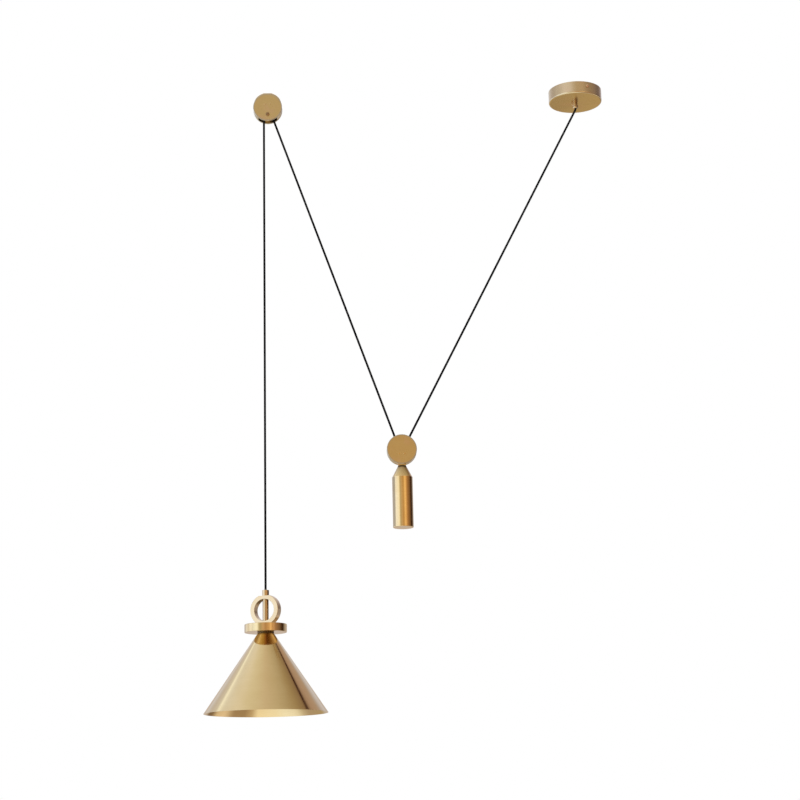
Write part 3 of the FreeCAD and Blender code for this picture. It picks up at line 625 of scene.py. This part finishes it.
def cord_lead():
    """From the terminals through a quarter bend, down the grip and round the bend under it."""
    inward = Matrix.Rotation(radians(BRACKET_TURN), 3, "Z") @ Vector((0, 1, 0))
    depth = Vector((0, 0, -WIRE_DEPTH))
    centre = inward * LEAD_BEND + depth + Vector((0, 0, -LEAD_BEND))
    quarter = [
        centre + (Vector((0, 0, 1)) * cos(a) - inward * sin(a)) * LEAD_BEND
        for a in (pi / 2 * n / 18 for n in range(19))
    ]
    mouth = Vector((0, 0, GRIP_MOUTH))
    exit_bend = arc((-EXIT_BEND_RADIUS, GRIP_MOUTH), mouth, CANOPY_RUN[0], -1)
    straight = between(quarter[-1], mouth, 3.0)
    points = [inward * LEAD_END + depth] + quarter + straight[1:-1] + exit_bend
    piece = tube("cord_lead", points, -LEAD_LENGTH, inward.cross(Vector((0, 0, 1))))
    stands_for(piece, "ceiling_mount", "cord_canopy_lead")


def make_cord():
    cord_lead()
    taut_run("cord_canopy_run", CANOPY_RUN, 0.0)
    length = (CANOPY_RUN[1] - CANOPY_RUN[0]).length
    under = arc(WEIGHT_AXLE, CANOPY_RUN[1], PULLEY_RUN[1], -1)
    stands_for(tube("cord_under_weight_wheel", under, length), "counterweight", "cord_weight_wrap")
    length += UNDER_LENGTH
    taut_run("cord_pulley_run", PULLEY_RUN, length)
    length += (PULLEY_RUN[1] - PULLEY_RUN[0]).length
    over = arc(FIXED_AXLE, PULLEY_RUN[0], LAMP_DROP[0], 1)
    stands_for(tube("cord_over_fixed_wheel", over, length), "ceiling_mount", "cord_pulley_wrap")
    length += OVER_LENGTH
    drop = tube("cord_lamp_drop_run", between(*LAMP_DROP, CORD_STEP), length)
    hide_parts("cord_lamp_drop")
    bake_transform(drop)


# ---- screws and axles ----
SLOT_LENGTH = 14.0         # longer than any head is wide
# Head radius, head height, shank radius and reach.
SET_SCREW = (1.7, 1.2, 1.2, 4.4)
SIDE_SCREW = (3.8, 2.2, 2.0, 5.8)
AXLE_PIN = (4.6, 1.4, 3.0, OUTER_FACE + INNER_FACE + 2.0)


def slotted(piece, stand, width, depth, turn):
    """Cuts a driver's slot right across; stand's origin is the middle of the head's top."""
    cut_away(piece, cutting_block(stand, (SLOT_LENGTH, width, 2 * depth), turn))


def cheese_head(name, stand, sizes, body, node, turn, look=None):
    """A slotted screw whose head stands proud of stand's origin and whose shank goes in."""
    radius, height, shank, reach = sizes
    profile = [
        (0, height), (0.6 * radius, 0.97 * height), (radius, 0.72 * height, 0.35 * height), (radius, 0, 0.1),
        (shank, 0), (shank, -reach, 0.2), (0, -reach),
    ]
    piece = lathe(name, profile, stand, "turned_brass", 48, closed=False, look=look)
    slotted(piece, stand @ Matrix.Translation((0, 0, height)), 0.24 * radius, 0.4 * height, turn)
    stands_for(piece, body, node)


def countersunk(name, stand, body, node, turn):
    """A flush slotted screw; stand's origin is the middle of its head, its axis points outwards."""
    profile = [
        (0, 0), (SCREW_HEAD, 0, 0.15), (SCREW_SHANK, -SCREW_CONE), (SCREW_SHANK, -SCREW_REACH, 0.3),
        (0, -SCREW_REACH),
    ]
    piece = lathe(name, profile, stand, "turned_brass", 48, closed=False)
    slotted(piece, stand, 0.9, 0.9, turn)
    stands_for(piece, body, node)


# ---- ceiling canopy ----
def make_cup():
    under, inside = -CANOPY_HEIGHT, -CANOPY_HEIGHT + CANOPY_WALL
    inner = CANOPY_RADIUS - CANOPY_WALL
    cup = [
        (GRIP_HOLE, under, 0.2), (CANOPY_RADIUS, under, CANOPY_ROLL), (CANOPY_RADIUS, 0, 0.3),
        (inner, 0, 0.3), (inner, inside, 1.3), (GRIP_HOLE, inside, 0.2),
    ]
    piece = lathe("canopy", cup, standing(0), "canopy_brass", 256, steps=8)
    # Painted shade: the underside is a little darker towards the pulley.
    mark_painted_shade(piece, lambda x, y, z: 0.2 * clamped(0.5 - x / 90) * (z < under + 0.1))
    stands_for(piece, "ceiling_mount", "canopy_cup")


def grip_part(name, profile, node):
    """A turned piece of the grip in a lighter brass, painted light, with painted shade on the side that the
    cord leans away from.
    """
    piece = lathe(name, profile, standing(0), "canopy_brass", 96, look="grip_lit_brass")
    mark_painted_shade(piece, lambda x, y, z: 0.5 * clamped((x - 0.5) / 2.5))
    stands_for(piece, "ceiling_mount", node)


def make_grip():
    neck, tail = GRIP_MOUTH + NUT_DEPTH, -CANOPY_HEIGHT + CANOPY_WALL + GRIP_TAIL
    body = [
        (CORD_HOLE, neck), (GRIP_NECK, neck), (GRIP_NECK, GRIP_BASE), (GRIP_RADIUS, GRIP_BASE, 0.3),
        (GRIP_RADIUS, -CANOPY_HEIGHT, 0.2), (GRIP_THREAD, -CANOPY_HEIGHT), (GRIP_THREAD, tail, 0.3),
        (CORD_HOLE, tail),
    ]
    grip_part("grip_body", body, "cord_grip_body")
    radius, waist = GRIP_NUT_RADIUS, GRIP_NUT_RADIUS - NUT_GROOVE_DEPTH
    low, floor, floor_end, high = (GRIP_MOUTH + height for height in NUT_GROOVE)
    nut = [
        (NUT_MOUTH, GRIP_MOUTH, 0.3), (radius, GRIP_MOUTH, 1.5), (radius, low, 0.5), (waist, floor, 0.2),
        (waist, floor_end, 0.2), (radius, high, 0.3), (radius, GRIP_BASE, 0.4), (NUT_BORE, GRIP_BASE),
        (NUT_BORE, neck - 0.1), (NUT_MOUTH, neck - 0.1),
    ]
    grip_part("grip_nut", nut, "cord_grip_nut")
    seat = along((-GRIP_RADIUS - SET_SCREW_OUT, 0, (GRIP_BASE - CANOPY_HEIGHT) / 2), (-1, 0, 0))
    cheese_head("grip_set_screw", seat, SET_SCREW, "ceiling_mount", "cord_grip_set_screw", 20)


def make_side_screws():
    for n, side in enumerate((-1, 1)):
        out = Matrix.Rotation(radians(BRACKET_TURN), 3, "Z") @ Vector((0, side, 0))
        seat = along(out * CANOPY_RADIUS + Vector((0, 0, -SIDE_SCREW_DEPTH)), out)
        name, turn = f"canopy_screw_{n + 1}", 35 + 70 * n
        cheese_head(name, seat, SIDE_SCREW, "ceiling_mount", "canopy_side_screws", turn, "screw_brass")


# ---- pulley units ----
def cheek(name, centre, start, steps=5):
    """A round cheek whose first face is at this depth."""
    end = start + DISC_THICKNESS
    profile = [(0, start), (CHEEK_RADIUS, start, CHEEK_EDGE), (CHEEK_RADIUS, end, CHEEK_EDGE), (0, end)]
    return lathe(name, profile, through(centre), "disc_brass", 192, closed=False, steps=steps)


def front_cheek(name, centre, body, node):
    """The round cheek nearest the viewer, polished outside, with painted shade, dark and rough, on its inner
    face in the gap between the cheeks.
    """
    piece = cheek(name, centre, -OUTER_FACE)
    mark_painted_shade(piece, lambda x, y, z: y > -INNER_FACE - 0.05)
    stands_for(piece, body, node)


def back_cheek(name, centre, axle, rise, body, node):
    """The round cheek behind the wheel, countersunk for the block's two screws."""
    piece = cheek(name, centre, INNER_FACE, steps=4)
    sink = [
        (0, 0.2), (SCREW_HEAD + 0.25, 0.2), (SCREW_HEAD + 0.05, 0), (SCREW_SHANK + 0.05, -SCREW_CONE),
        (0, -SCREW_CONE),
    ]
    for x in (-SCREW_SPREAD, SCREW_SPREAD):
        stand = along((axle[0] + x, OUTER_FACE, axle[1] + rise), (0, 1, 0))
        cut_away(piece, lathe("sink", sink, stand, "disc_brass", 48, closed=False))
    # Painted shade on its inner face, but for a strip by the wheel that is left bright.
    mark_painted_shade(piece, lambda x, y, z: (y < INNER_FACE + 0.05) * clamped((abs(x - axle[0]) - 4) / 5))
    stands_for(piece, body, node)


def prism(name, outline, slot):
    """A slab between the cheeks from its outline of (x, z) points."""
    count = len(outline)
    verts = [Vector((x, y, z)) * MM for y in (-INNER_FACE, INNER_FACE) for x, z in outline]
    faces = [tuple(range(count)), tuple(range(2 * count - 1, count - 1, -1))]
    faces += [(n, (n + 1) % count, (n + 1) % count + count, n + count) for n in range(count)]
    mesh = new_mesh(name, verts, faces)
    give_vectors(mesh, "turn", [(v.x * 9, v.z * 9, v.y) for v in verts])
    return finish_mesh(name, mesh, slot)


def slotted_block(name, disc, axle, up, half_slot, end, body, node):
    """The rim between the cheeks, closed but for the slot of the wheel and the cord.

    end is the right half of its closed end, and heights count from the axle, away from the slot."""
    radius = DISC_RADIUS - BLOCK_INSET
    rise = up * (disc[1] - axle[1])
    shoulder = asin(end[-1][0] / radius)
    lip = asin(half_slot / radius)
    sweep = [shoulder + (pi - lip - shoulder) * n / 40 for n in range(1, 41)]
    quarter = [pi / 2 * n / 6 for n in range(7)]
    corner_x, corner_z = half_slot - SLOT_CORNER, SLOT_END - SLOT_CORNER
    right = [(x, rise + z) for x, z in end]
    right += [(radius * sin(a), rise + radius * cos(a)) for a in sweep]
    right += [(corner_x + SLOT_CORNER * cos(a), corner_z + SLOT_CORNER * sin(a)) for a in quarter]
    outline = right + [(-x, z) for x, z in reversed(right)]
    piece = prism(name, [(axle[0] + x, axle[1] + up * z) for x, z in outline], "disc_brass")
    # Painted shade on the block between the cheeks, all but its outer rim.
    mark_painted_shade(piece, lambda x, y, z: hypot(x - disc[0], z - disc[1]) < radius - 0.6)
    stands_for(piece, body, node)


def wheel(name, axle, body, node):
    """A grooved wheel; its groove's floor follows the cord."""
    turns = [pi * n / 12 for n in range(13)]
    groove = [(PITCH_RADIUS - GROOVE_RADIUS * sin(a), -GROOVE_RADIUS * cos(a)) for a in turns]
    lip = WHEEL_HALF - LIP_WIDTH
    profile = [(WHEEL_BORE, -WHEEL_HALF, 0.3), (WHEEL_RADIUS, -WHEEL_HALF, 0.5), (WHEEL_RADIUS, -lip, 0.5)]
    profile += groove
    profile += [(WHEEL_RADIUS, lip, 0.5), (WHEEL_RADIUS, WHEEL_HALF, 0.5), (WHEEL_BORE, WHEEL_HALF, 0.3)]
    stands_for(lathe(name, profile, through(axle), "bush_brass", 96), body, node)


def make_unit(prefix, disc, axle, up, half_slot, end, body, wheel_body):
    """One pulley unit; up is +1 with its block above the axle, -1 with it below."""
    slotted_block(prefix + "_rim", disc, axle, up, half_slot, end, body, prefix + "_block")
    front_cheek(prefix + "_cheek", disc, body, prefix + "_front_disc")
    back_cheek(prefix + "_back_cheek", disc, axle, up * SCREW_RISE, body, prefix + "_back_disc")
    wheel(prefix + "_wheel_rim", axle, wheel_body, prefix + "_sheave")
    head_side = -1 if up > 0 else 1
    seat = along((axle[0], head_side * OUTER_FACE, axle[1]), (0, head_side, 0))
    cheese_head(prefix + "_axle_pin", seat, AXLE_PIN, body, prefix + "_axle", 30, "axle_bronze")
    for n, x in enumerate((-SCREW_SPREAD, SCREW_SPREAD)):
        stand = along((axle[0] + x, OUTER_FACE, axle[1] + up * SCREW_RISE), (0, 1, 0))
        countersunk(f"{prefix}_block_screw_{n + 1}", stand, body, prefix + "_back_screws", 25 + 80 * n)


# ---- counterweight ----
def make_weight():
    """Cone and cylinder in one; the cone is painted darker than the cylinder and made rougher, and painted
    shadow lies just under the block.
    """
    slope = (WEIGHT_RADIUS - WEIGHT_NECK) / (WEIGHT_TOP - WEIGHT_SHOULDER)
    dark, bright = WEIGHT_TOP - DARK_BAND, WEIGHT_TOP - DARK_BAND_END
    body = [
        (0, WEIGHT_TOP), (WEIGHT_NECK, WEIGHT_TOP, 0.4), (WEIGHT_NECK + DARK_BAND * slope, dark),
        (WEIGHT_NECK + DARK_BAND_END * slope, bright), (WEIGHT_RADIUS, WEIGHT_SHOULDER, 1.0),
        (WEIGHT_RADIUS, WEIGHT_BOTTOM, 0.9), (0, WEIGHT_BOTTOM),
    ]
    piece = lathe("weight", body, standing(WEIGHT_AXLE[0]), "turned_brass", 192, closed=False)
    # Painted shadow under the block, and the cone painted darker than the cylinder.
    mark_painted_shade(piece, lambda x, y, z: (z > dark - 0.1) * 0.5 + (z > WEIGHT_SHOULDER + 0.7) * 0.44)
    piece.visible_glossy = False         # or the shade would show it as a streak
    stands_for(piece, "counterweight", "weight_body")


# ---- lamp head ----
def lamp_part(name, profile, slot, segments, node, painted_shade=None, shape=None, stand=standing(LAMP_X)):
    """A turned piece of the lamp, about its axis; the shading function, if given, says where it has painted
    shade.
    """
    piece = lathe(name, profile, stand, slot, segments, shape=shape)
    if painted_shade:
        mark_painted_shade(piece, painted_shade)
    stands_for(piece, "lamp", node)


def painted_shade_right(most, start, reach):
    """Painted shade that rises to most over reach, from start right of the lamp's axis."""
    return lambda x, y, z: most * clamped((x - LAMP_X - start) / reach)


def make_ferrule():
    cap = [
        (TUBE_BORE, FERRULE_BASE), (FERRULE_RADIUS, FERRULE_BASE, 0.2), (FERRULE_RADIUS, FERRULE_TOP, 0.9),
        (TUBE_BORE, FERRULE_TOP, 0.2),
    ]
    # Painted shade on its right side.
    lamp_part("cord_ferrule", cap, "ring_brass", 96, "ferrule", painted_shade_right(0.45, 0.5, 4))


def make_ring():
    """The hanger ring, turned a little away from the viewer and flattened where it meets its neighbours."""
    turn = Matrix.Rotation(radians(-RING_TURN), 3, "Z")
    low, high = RING_CENTRE - RING_FLAT, RING_CENTRE + RING_FLAT

    def flattened(x, y, z):
        return x, y, max(low, min(high, z))

    def in_bore(x, y, z):
        """Painted shade in the bore, deepest at its top."""
        spot = turn.inverted() @ Vector((x - LAMP_X, y, z - RING_CENTRE))
        inside = hypot(spot.x, spot.z) < RING_BORE + 0.25
        return inside * (0.08 + 0.6 * clamped((spot.z - 6) / 14))

    ring = [
        (RING_BORE, -RING_HALF, 0.6), (RING_RADIUS, -RING_HALF, 0.8), (RING_RADIUS, RING_HALF, 0.8),
        (RING_BORE, RING_HALF, 0.6),
    ]
    stand = along((LAMP_X, 0, RING_CENTRE), turn @ Vector((0, 1, 0)))
    lamp_part("lamp_ring", ring, "ring_brass", 256, "hanger_ring", in_bore, flattened, stand)


def make_sleeve():
    """The tube's sleeve across the ring's bore."""
    turn = Matrix.Rotation(radians(-RING_TURN), 3, "Z")

    def saddle(x, y, z):
        """Fits the sleeve's ends to the bore."""
        spot = turn.inverted() @ Vector((x - LAMP_X, y, 0))
        reach = sqrt((RING_BORE - 0.05) ** 2 - spot.x ** 2)
        return x, y, RING_CENTRE + (reach if z > RING_CENTRE else -reach)

    low, high = RING_CENTRE - RING_BORE, RING_CENTRE + RING_BORE
    sleeve = [(TUBE_HOLE, low), (SLEEVE_RADIUS, low), (SLEEVE_RADIUS, high), (TUBE_HOLE, high)]
    # Painted shade on its right side.
    lamp_part("ring_post", sleeve, "ring_brass", 96, "ring_sleeve", painted_shade_right(0.22, -3, 3), saddle)


def washer(radius, edge, low, high):
    """Profile of a flat ring round the lamp's tube."""
    return [(TUBE_HOLE, low), (radius, low, edge), (radius, high, edge), (TUBE_HOLE, high)]


def make_disc():
    """The hollow disc, the plate that closes it, and the collar under it, dark all over as painted shade."""
    inner, ceiling = TOP_DISC_RADIUS - TOP_DISC_WALL, DISC_TOP - TOP_DISC_WALL
    top = [
        (TUBE_HOLE, DISC_TOP), (TOP_DISC_RADIUS, DISC_TOP, 0.9), (TOP_DISC_RADIUS, DISC_BOTTOM, 0.5),
        (inner, DISC_BOTTOM, 0.2), (inner, ceiling, 0.4), (TUBE_HOLE, ceiling),
    ]
    lamp_part("lamp_disc", top, "lamp_brass", 256, "top_disc")
    plate = washer(inner - 0.1, 0.3, DISC_BOTTOM, DISC_BOTTOM + PLATE_THICKNESS)
    lamp_part("lamp_disc_plate", plate, "lamp_brass", 256, "disc_base_plate")
    # The collar stands for the band of shade under the disc, wider than the model's collar.
    collar = washer(COLLAR_RADIUS, 0.2, SHADE_TOP, DISC_BOTTOM)
    lamp_part("collar", collar, "lamp_brass", 128, "shade_collar", lambda x, y, z: 0.85)


def make_shade():
    slope = (SHADE_RIM_RADIUS - SHADE_TOP_RADIUS) / (SHADE_TOP - SHADE_RIM)
    across = SHADE_WALL / cos(atan(slope))
    under = SHADE_TOP - SHADE_WALL

    def outside(depth):
        return SHADE_TOP_RADIUS + depth * slope, SHADE_TOP - depth

    def painted_shade(x, y, z):
        """Painted shade on the outermost edge under the collar."""
        at_edge = hypot(x - LAMP_X, y) > SHADE_TOP_RADIUS - 0.4
        return 0.55 * (at_edge and z > SHADE_TOP - PAINTED_SHADE_DEPTH - 0.1)

    cone = [
        (TUBE_HOLE, SHADE_TOP), (SHADE_TOP_RADIUS, SHADE_TOP, 0.5), outside(PAINTED_SHADE_DEPTH), outside(5),
        (SHADE_RIM_RADIUS, SHADE_RIM, 0.25), (SHADE_RIM_RADIUS - across, SHADE_RIM, 0.25),
        (SHADE_TOP_RADIUS + SHADE_WALL * slope - across, under, 0.5), (TUBE_HOLE, under),
    ]
    lamp_part("shade", cone, "shade_brass", 320, "shade_cone", painted_shade)


# ---- lampholder ----
HOLDER_TOP = SHADE_TOP - SHADE_WALL
CAP_TOP_RADIUS, CAP_RADIUS, CAP_CONE, CAP_HEIGHT, CAP_WALL, CAP_ROOF = 10.5, 19.5, 11.0, 20.0, 1.4, 2.5
FLUTES, FLUTE_DEPTH = 20, 0.35
SKIRT_RADIUS, SKIRT_LENGTH, SKIRT_WALL, SKIRT_LAP = 18.0, 46.0, 1.2, 6.0
SKIRT_GROOVE, SKIRT_GROOVE_DEPTH = (5.0, 5.6, 6.8, 7.4), 0.3     # heights over the skirt's mouth
INSERT_BOTTOM = HOLDER_TOP - 23.5
SHELL_RADIUS, SHELL_LENGTH, SHELL_HALF_WALL = 13.45, 27.0, 0.15
THREAD_PITCH, THREAD_DEPTH, THREAD_ROWS = 3.63, 0.28, 54


def moved_out(x, y, z, offset):
    """The point moved away from the lamp's axis by offset."""
    share = 1 + offset / hypot(x - LAMP_X, y)
    return LAMP_X + (x - LAMP_X) * share, y * share, z


def make_holder():
    """Fluted cap and smooth skirt of a socket for a screw bulb."""
    base, shoulder, roof = HOLDER_TOP - CAP_HEIGHT, HOLDER_TOP - CAP_CONE, HOLDER_TOP - CAP_ROOF

    def fluted(x, y, z):
        if hypot(x - LAMP_X, y) < CAP_RADIUS - 0.9 or z > shoulder - 1:
            return x, y, z
        wave = abs(sin(FLUTES * atan2(y, x - LAMP_X))) ** 3
        return moved_out(x, y, z, -FLUTE_DEPTH * wave)

    inner = CAP_RADIUS - CAP_WALL
    cap = [
        (TUBE_HOLE, HOLDER_TOP), (CAP_TOP_RADIUS, HOLDER_TOP, 0.8), (CAP_RADIUS, shoulder, 1.2),
        (CAP_RADIUS, base, 0.4), (inner, base, 0.2), (inner, shoulder - 0.5),
        (CAP_TOP_RADIUS - CAP_WALL, roof), (TUBE_HOLE, roof),
    ]
    lamp_part("holder_cap", cap, "holder_plastic", 240, "lampholder_cap", shape=fluted)
    top = base + SKIRT_LAP
    low = top - SKIRT_LENGTH
    inner, waist = SKIRT_RADIUS - SKIRT_WALL, SKIRT_RADIUS - SKIRT_GROOVE_DEPTH
    start, floor, floor_end, end = (low + height for height in SKIRT_GROOVE)
    skirt = [
        (inner, low, 0.4), (SKIRT_RADIUS, low, 0.5), (SKIRT_RADIUS, start, 0.3), (waist, floor, 0.2),
        (waist, floor_end, 0.2), (SKIRT_RADIUS, end, 0.3), (SKIRT_RADIUS, top, 0.2), (inner, top, 0.2),
    ]
    lamp_part("holder_skirt", skirt, "holder_plastic", 128, "lampholder_skirt")


def make_socket_shell():
    """The metal shell with its rolled thread, which fades out at both ends."""
    def rolled(x, y, z):
        depth = (INSERT_BOTTOM - z) / THREAD_PITCH
        fade = clamped(depth - 0.6) * clamped(SHELL_LENGTH / THREAD_PITCH - depth)
        wave = sin(2 * pi * depth + atan2(y, x - LAMP_X))
        return moved_out(x, y, z, THREAD_DEPTH * fade * wave)

    rows = [INSERT_BOTTOM - SHELL_LENGTH * n / THREAD_ROWS for n in range(THREAD_ROWS + 1)]
    shell = [(SHELL_RADIUS + SHELL_HALF_WALL, z) for z in rows]
    shell += [(SHELL_RADIUS - SHELL_HALF_WALL, z) for z in reversed(rows)]
    lamp_part("holder_thread", shell, "contact_brass", 96, "lampholder_shell", shape=rolled)


def dress_nodes():
    """The CAD nodes that stay in view get their slot's material."""
    slots = {row["node"]: row["material_slot"] for row in frame["record"]["subparts"]}
    for name, node in nodes.items():
        for slot in node.material_slots:
            slot.material = NODE_MATERIALS[slots[name]]


# ---- studio ----
# Light round the object: degrees from the camera's side (plus is to the right), then red, green and
# blue in percent.
FOOT_RING = (
    (-180, 62, 55, 51), (-160, 63, 57, 56), (-148, 62, 64, 76), (-136, 85, 95, 125),
    (-120, 110, 124, 165), (-108, 85, 90, 115), (-96, 110, 124, 165), (-84, 118, 134, 175),
    (-74, 95, 108, 140), (-65, 112, 132, 170), (-50, 124, 142, 180), (-43, 116, 130, 155),
    (-37, 75, 75, 70), (-30, 52, 48, 36), (-20, 62, 50, 35), (-12, 74, 54, 40), (2, 55, 34, 20),
    (14, 70, 46, 27), (22, 74, 48, 28), (29, 110, 80, 50), (36, 80, 52, 30), (41, 62, 39, 23),
    (47, 76, 50, 34), (56, 46, 28, 18), (70, 33, 21, 14), (84, 22, 14, 10), (97, 8, 4, 2), (112, 4, 2, 1),
    (121, 32, 29, 30), (133, 52, 49, 57), (155, 63, 58, 60), (180, 62, 55, 51),
)
LOW_RING = (
    (-180, 66, 55, 44), (-160, 64, 57, 54), (-145, 52, 57, 78), (-120, 50, 56, 82), (-104, 50, 55, 78),
    (-97, 62, 68, 92), (-90, 120, 136, 185), (-76, 118, 132, 175), (-60, 120, 128, 155),
    (-47, 122, 128, 140), (-39, 105, 105, 100), (-32, 62, 55, 42), (-20, 66, 53, 35), (-7, 74, 52, 31),
    (3, 60, 38.5, 16), (13, 84, 57, 28), (26, 120, 85, 48), (36, 88, 57, 27), (48, 56, 31, 14),
    (60, 40, 22, 10), (72, 30, 17, 9), (86, 20, 11, 6), (97, 5, 2, 1), (121, 5, 3, 3), (131, 30, 26, 28),
    (150, 50, 50, 60), (180, 66, 55, 44),
)
MIDDLE_RING = (
    (-180, 90, 92, 104), (-150, 72, 74, 88), (-122, 53, 50, 57), (-84, 60, 57, 62), (-68, 68, 65, 72),
    (-54, 80, 78, 90), (-27, 81, 77, 87), (-12, 64, 57, 54), (0, 56, 46.5, 38), (26, 53, 42, 34),
    (39, 45, 35, 28), (54, 38, 29, 22), (87, 31, 23, 22), (109, 20, 16, 18), (128, 28, 22, 24),
    (150, 62, 62, 78), (180, 90, 92, 104),
)
HIGH_RING = (
    (-180, 86, 92, 116), (-163, 72, 68, 84), (-142, 72, 68, 74), (-134, 74, 75, 86), (-129, 72, 74, 84),
    (-123, 116, 126, 142), (-117, 92, 98, 112), (-112, 86, 90, 102), (-88, 88, 89, 94), (-66, 82, 81, 77),
    (-40, 77, 74, 67), (0, 70, 63, 55), (45, 62, 56, 46), (72, 54, 48, 38), (93, 43, 35, 24),
    (103, 36, 28, 19), (110, 33, 24, 17), (112.5, 28, 19, 13), (114, 3, 0, 0), (117, 3, 0, 0),
    (120, 38, 28, 24), (126, 48, 36, 34), (142, 52, 42, 40), (158, 60, 52, 54), (180, 86, 92, 116),
)
UNDER_RING = (
    (-180, 62, 46, 22), (-140, 50, 42, 30), (-110, 52, 44, 38), (-80, 90, 90, 84), (-40, 72, 66, 46),
    (-12, 48, 37, 24), (0, 45, 25, 20), (14, 18, 9, 5), (40, 18, 10, 6), (60, 28, 18, 11),
    (92, 46, 36, 26), (112, 94, 82, 72), (128, 86, 74, 62), (140, 30, 22, 15), (152, 22, 15, 10),
    (164, 32, 24, 14), (173, 62, 46, 22), (180, 62, 46, 22),
)
DOWN_RING = (
    (-180, 80, 80, 80), (-120, 60, 52, 46), (-92, 104, 108, 116), (-55, 112, 118, 124),
    (-30, 112, 113, 110), (28, 112, 108, 98), (46, 66, 54, 40), (66, 44, 33, 23), (90, 46, 35, 25),
    (120, 72, 62, 58), (180, 80, 80, 80),
)
# FOOT_RING is at the horizon; each other ring takes over between two heights, in degrees.
BANDS = (
    (LOW_RING, 7.6, 9.2), (MIDDLE_RING, 13.5, 20.0), (HIGH_RING, 25.5, 34.0), (UNDER_RING, -12.0, -21.0),
    (DOWN_RING, -44.0, -54.0),
)


def ring_colours(tree, azimuth, levels):
    ramp = add(tree, "ValToRGB", {0: azimuth})
    elements = ramp.color_ramp.elements
    for n, (degrees, *colour) in enumerate(levels):
        place = (degrees + 180) / 360
        spot = elements[n] if n < 2 else elements.new(place)
        spot.position = place
        spot.color = rgba(colour, 0.01)
    return ramp.outputs[0]


def make_studio():
    """White for the camera; light panels and dark flags for what the metal reflects; even light otherwise."""
    world = bpy.data.worlds.new("studio")
    scene.world = world
    world.use_nodes = True
    tree = world.node_tree
    tree.nodes.clear()
    way = add(tree, "SeparateXYZ", {0: add(tree, "TexCoord").outputs["Generated"]})
    x, y, z = way.outputs
    turn = calc(tree, "ARCTAN2", x, calc(tree, "MULTIPLY", y, -1.0))
    azimuth = calc(tree, "MULTIPLY_ADD", turn, 0.5 / pi, 0.5)
    height = calc(tree, "DEGREES", calc(tree, "ARCSINE", z))
    colour = ring_colours(tree, azimuth, FOOT_RING)
    for ring, start, end in BANDS:
        share = mapped(tree, height, start, end, smooth=True)
        colour = mixed(tree, share, colour, ring_colours(tree, azimuth, ring))
    seen = add(tree, "LightPath")
    white = add(tree, "Background", {0: (1, 1, 1, 1), 1: 1.0})
    even = add(tree, "Background", {0: (0.96, 0.97, 1.0, 1), 1: 0.9})
    panels = add(tree, "Background", {0: colour, 1: 1.0})
    lit = add(tree, "MixShader", {0: seen.outputs["Is Glossy Ray"], 1: even.outputs[0], 2: panels.outputs[0]})
    shown = add(tree, "MixShader", {0: seen.outputs["Is Camera Ray"], 1: lit.outputs[0], 2: white.outputs[0]})
    add(tree, "OutputWorld", {0: shown.outputs[0]})


FLOOR_LEVEL, FLOOR_REACH = -4.8, 150.0   # well below the lamp, which is also seen from below
KEY_PLACE, KEY_TARGET = (-2.2, -2.4, 1.4), (-0.45, 0, -0.7)
KEY_SIZE, KEY_POWER = 1.6, 28.0          # metres and watts


def make_floor():
    far = FLOOR_REACH
    corners = [(x, y, FLOOR_LEVEL) for x, y in ((-far, -far), (far, -far), (far, far), (-far, far))]
    floor = new_object("floor", new_mesh("floor", corners, [(0, 1, 2, 3)]))
    material, _, shader, _ = new_material("floor")
    set_shader(shader, Base_Color=(0.92, 0.92, 0.91, 1), Roughness=0.8)
    floor.data.materials.append(material)
    floor.visible_glossy = False


def make_key_light():
    light = bpy.data.lights.new("key", "AREA")
    light.shape = "DISK"
    light.size = KEY_SIZE
    light.energy = KEY_POWER
    lamp = new_object("key", light)
    lamp.location = KEY_PLACE
    lamp.rotation_euler = (Vector(KEY_TARGET) - Vector(KEY_PLACE)).to_track_quat("-Z", "Y").to_euler()
    lamp.visible_glossy = False


add_camera()
make_cord()
make_cup()
make_grip()
make_side_screws()
make_unit("fixed", FIXED_DISC, FIXED_AXLE, 1, FIXED_SLOT, FIXED_END, "ceiling_mount", "fixed_wheel")
make_unit("weight", WEIGHT_DISC, WEIGHT_AXLE, -1, WEIGHT_SLOT, WEIGHT_END, "counterweight", "weight_wheel")
make_weight()
make_ferrule()
make_ring()
make_sleeve()
make_disc()
make_shade()
make_holder()
make_socket_shell()
dress_nodes()
make_studio()
make_floor()
make_key_light()

scene.view_settings.view_transform = "Standard"
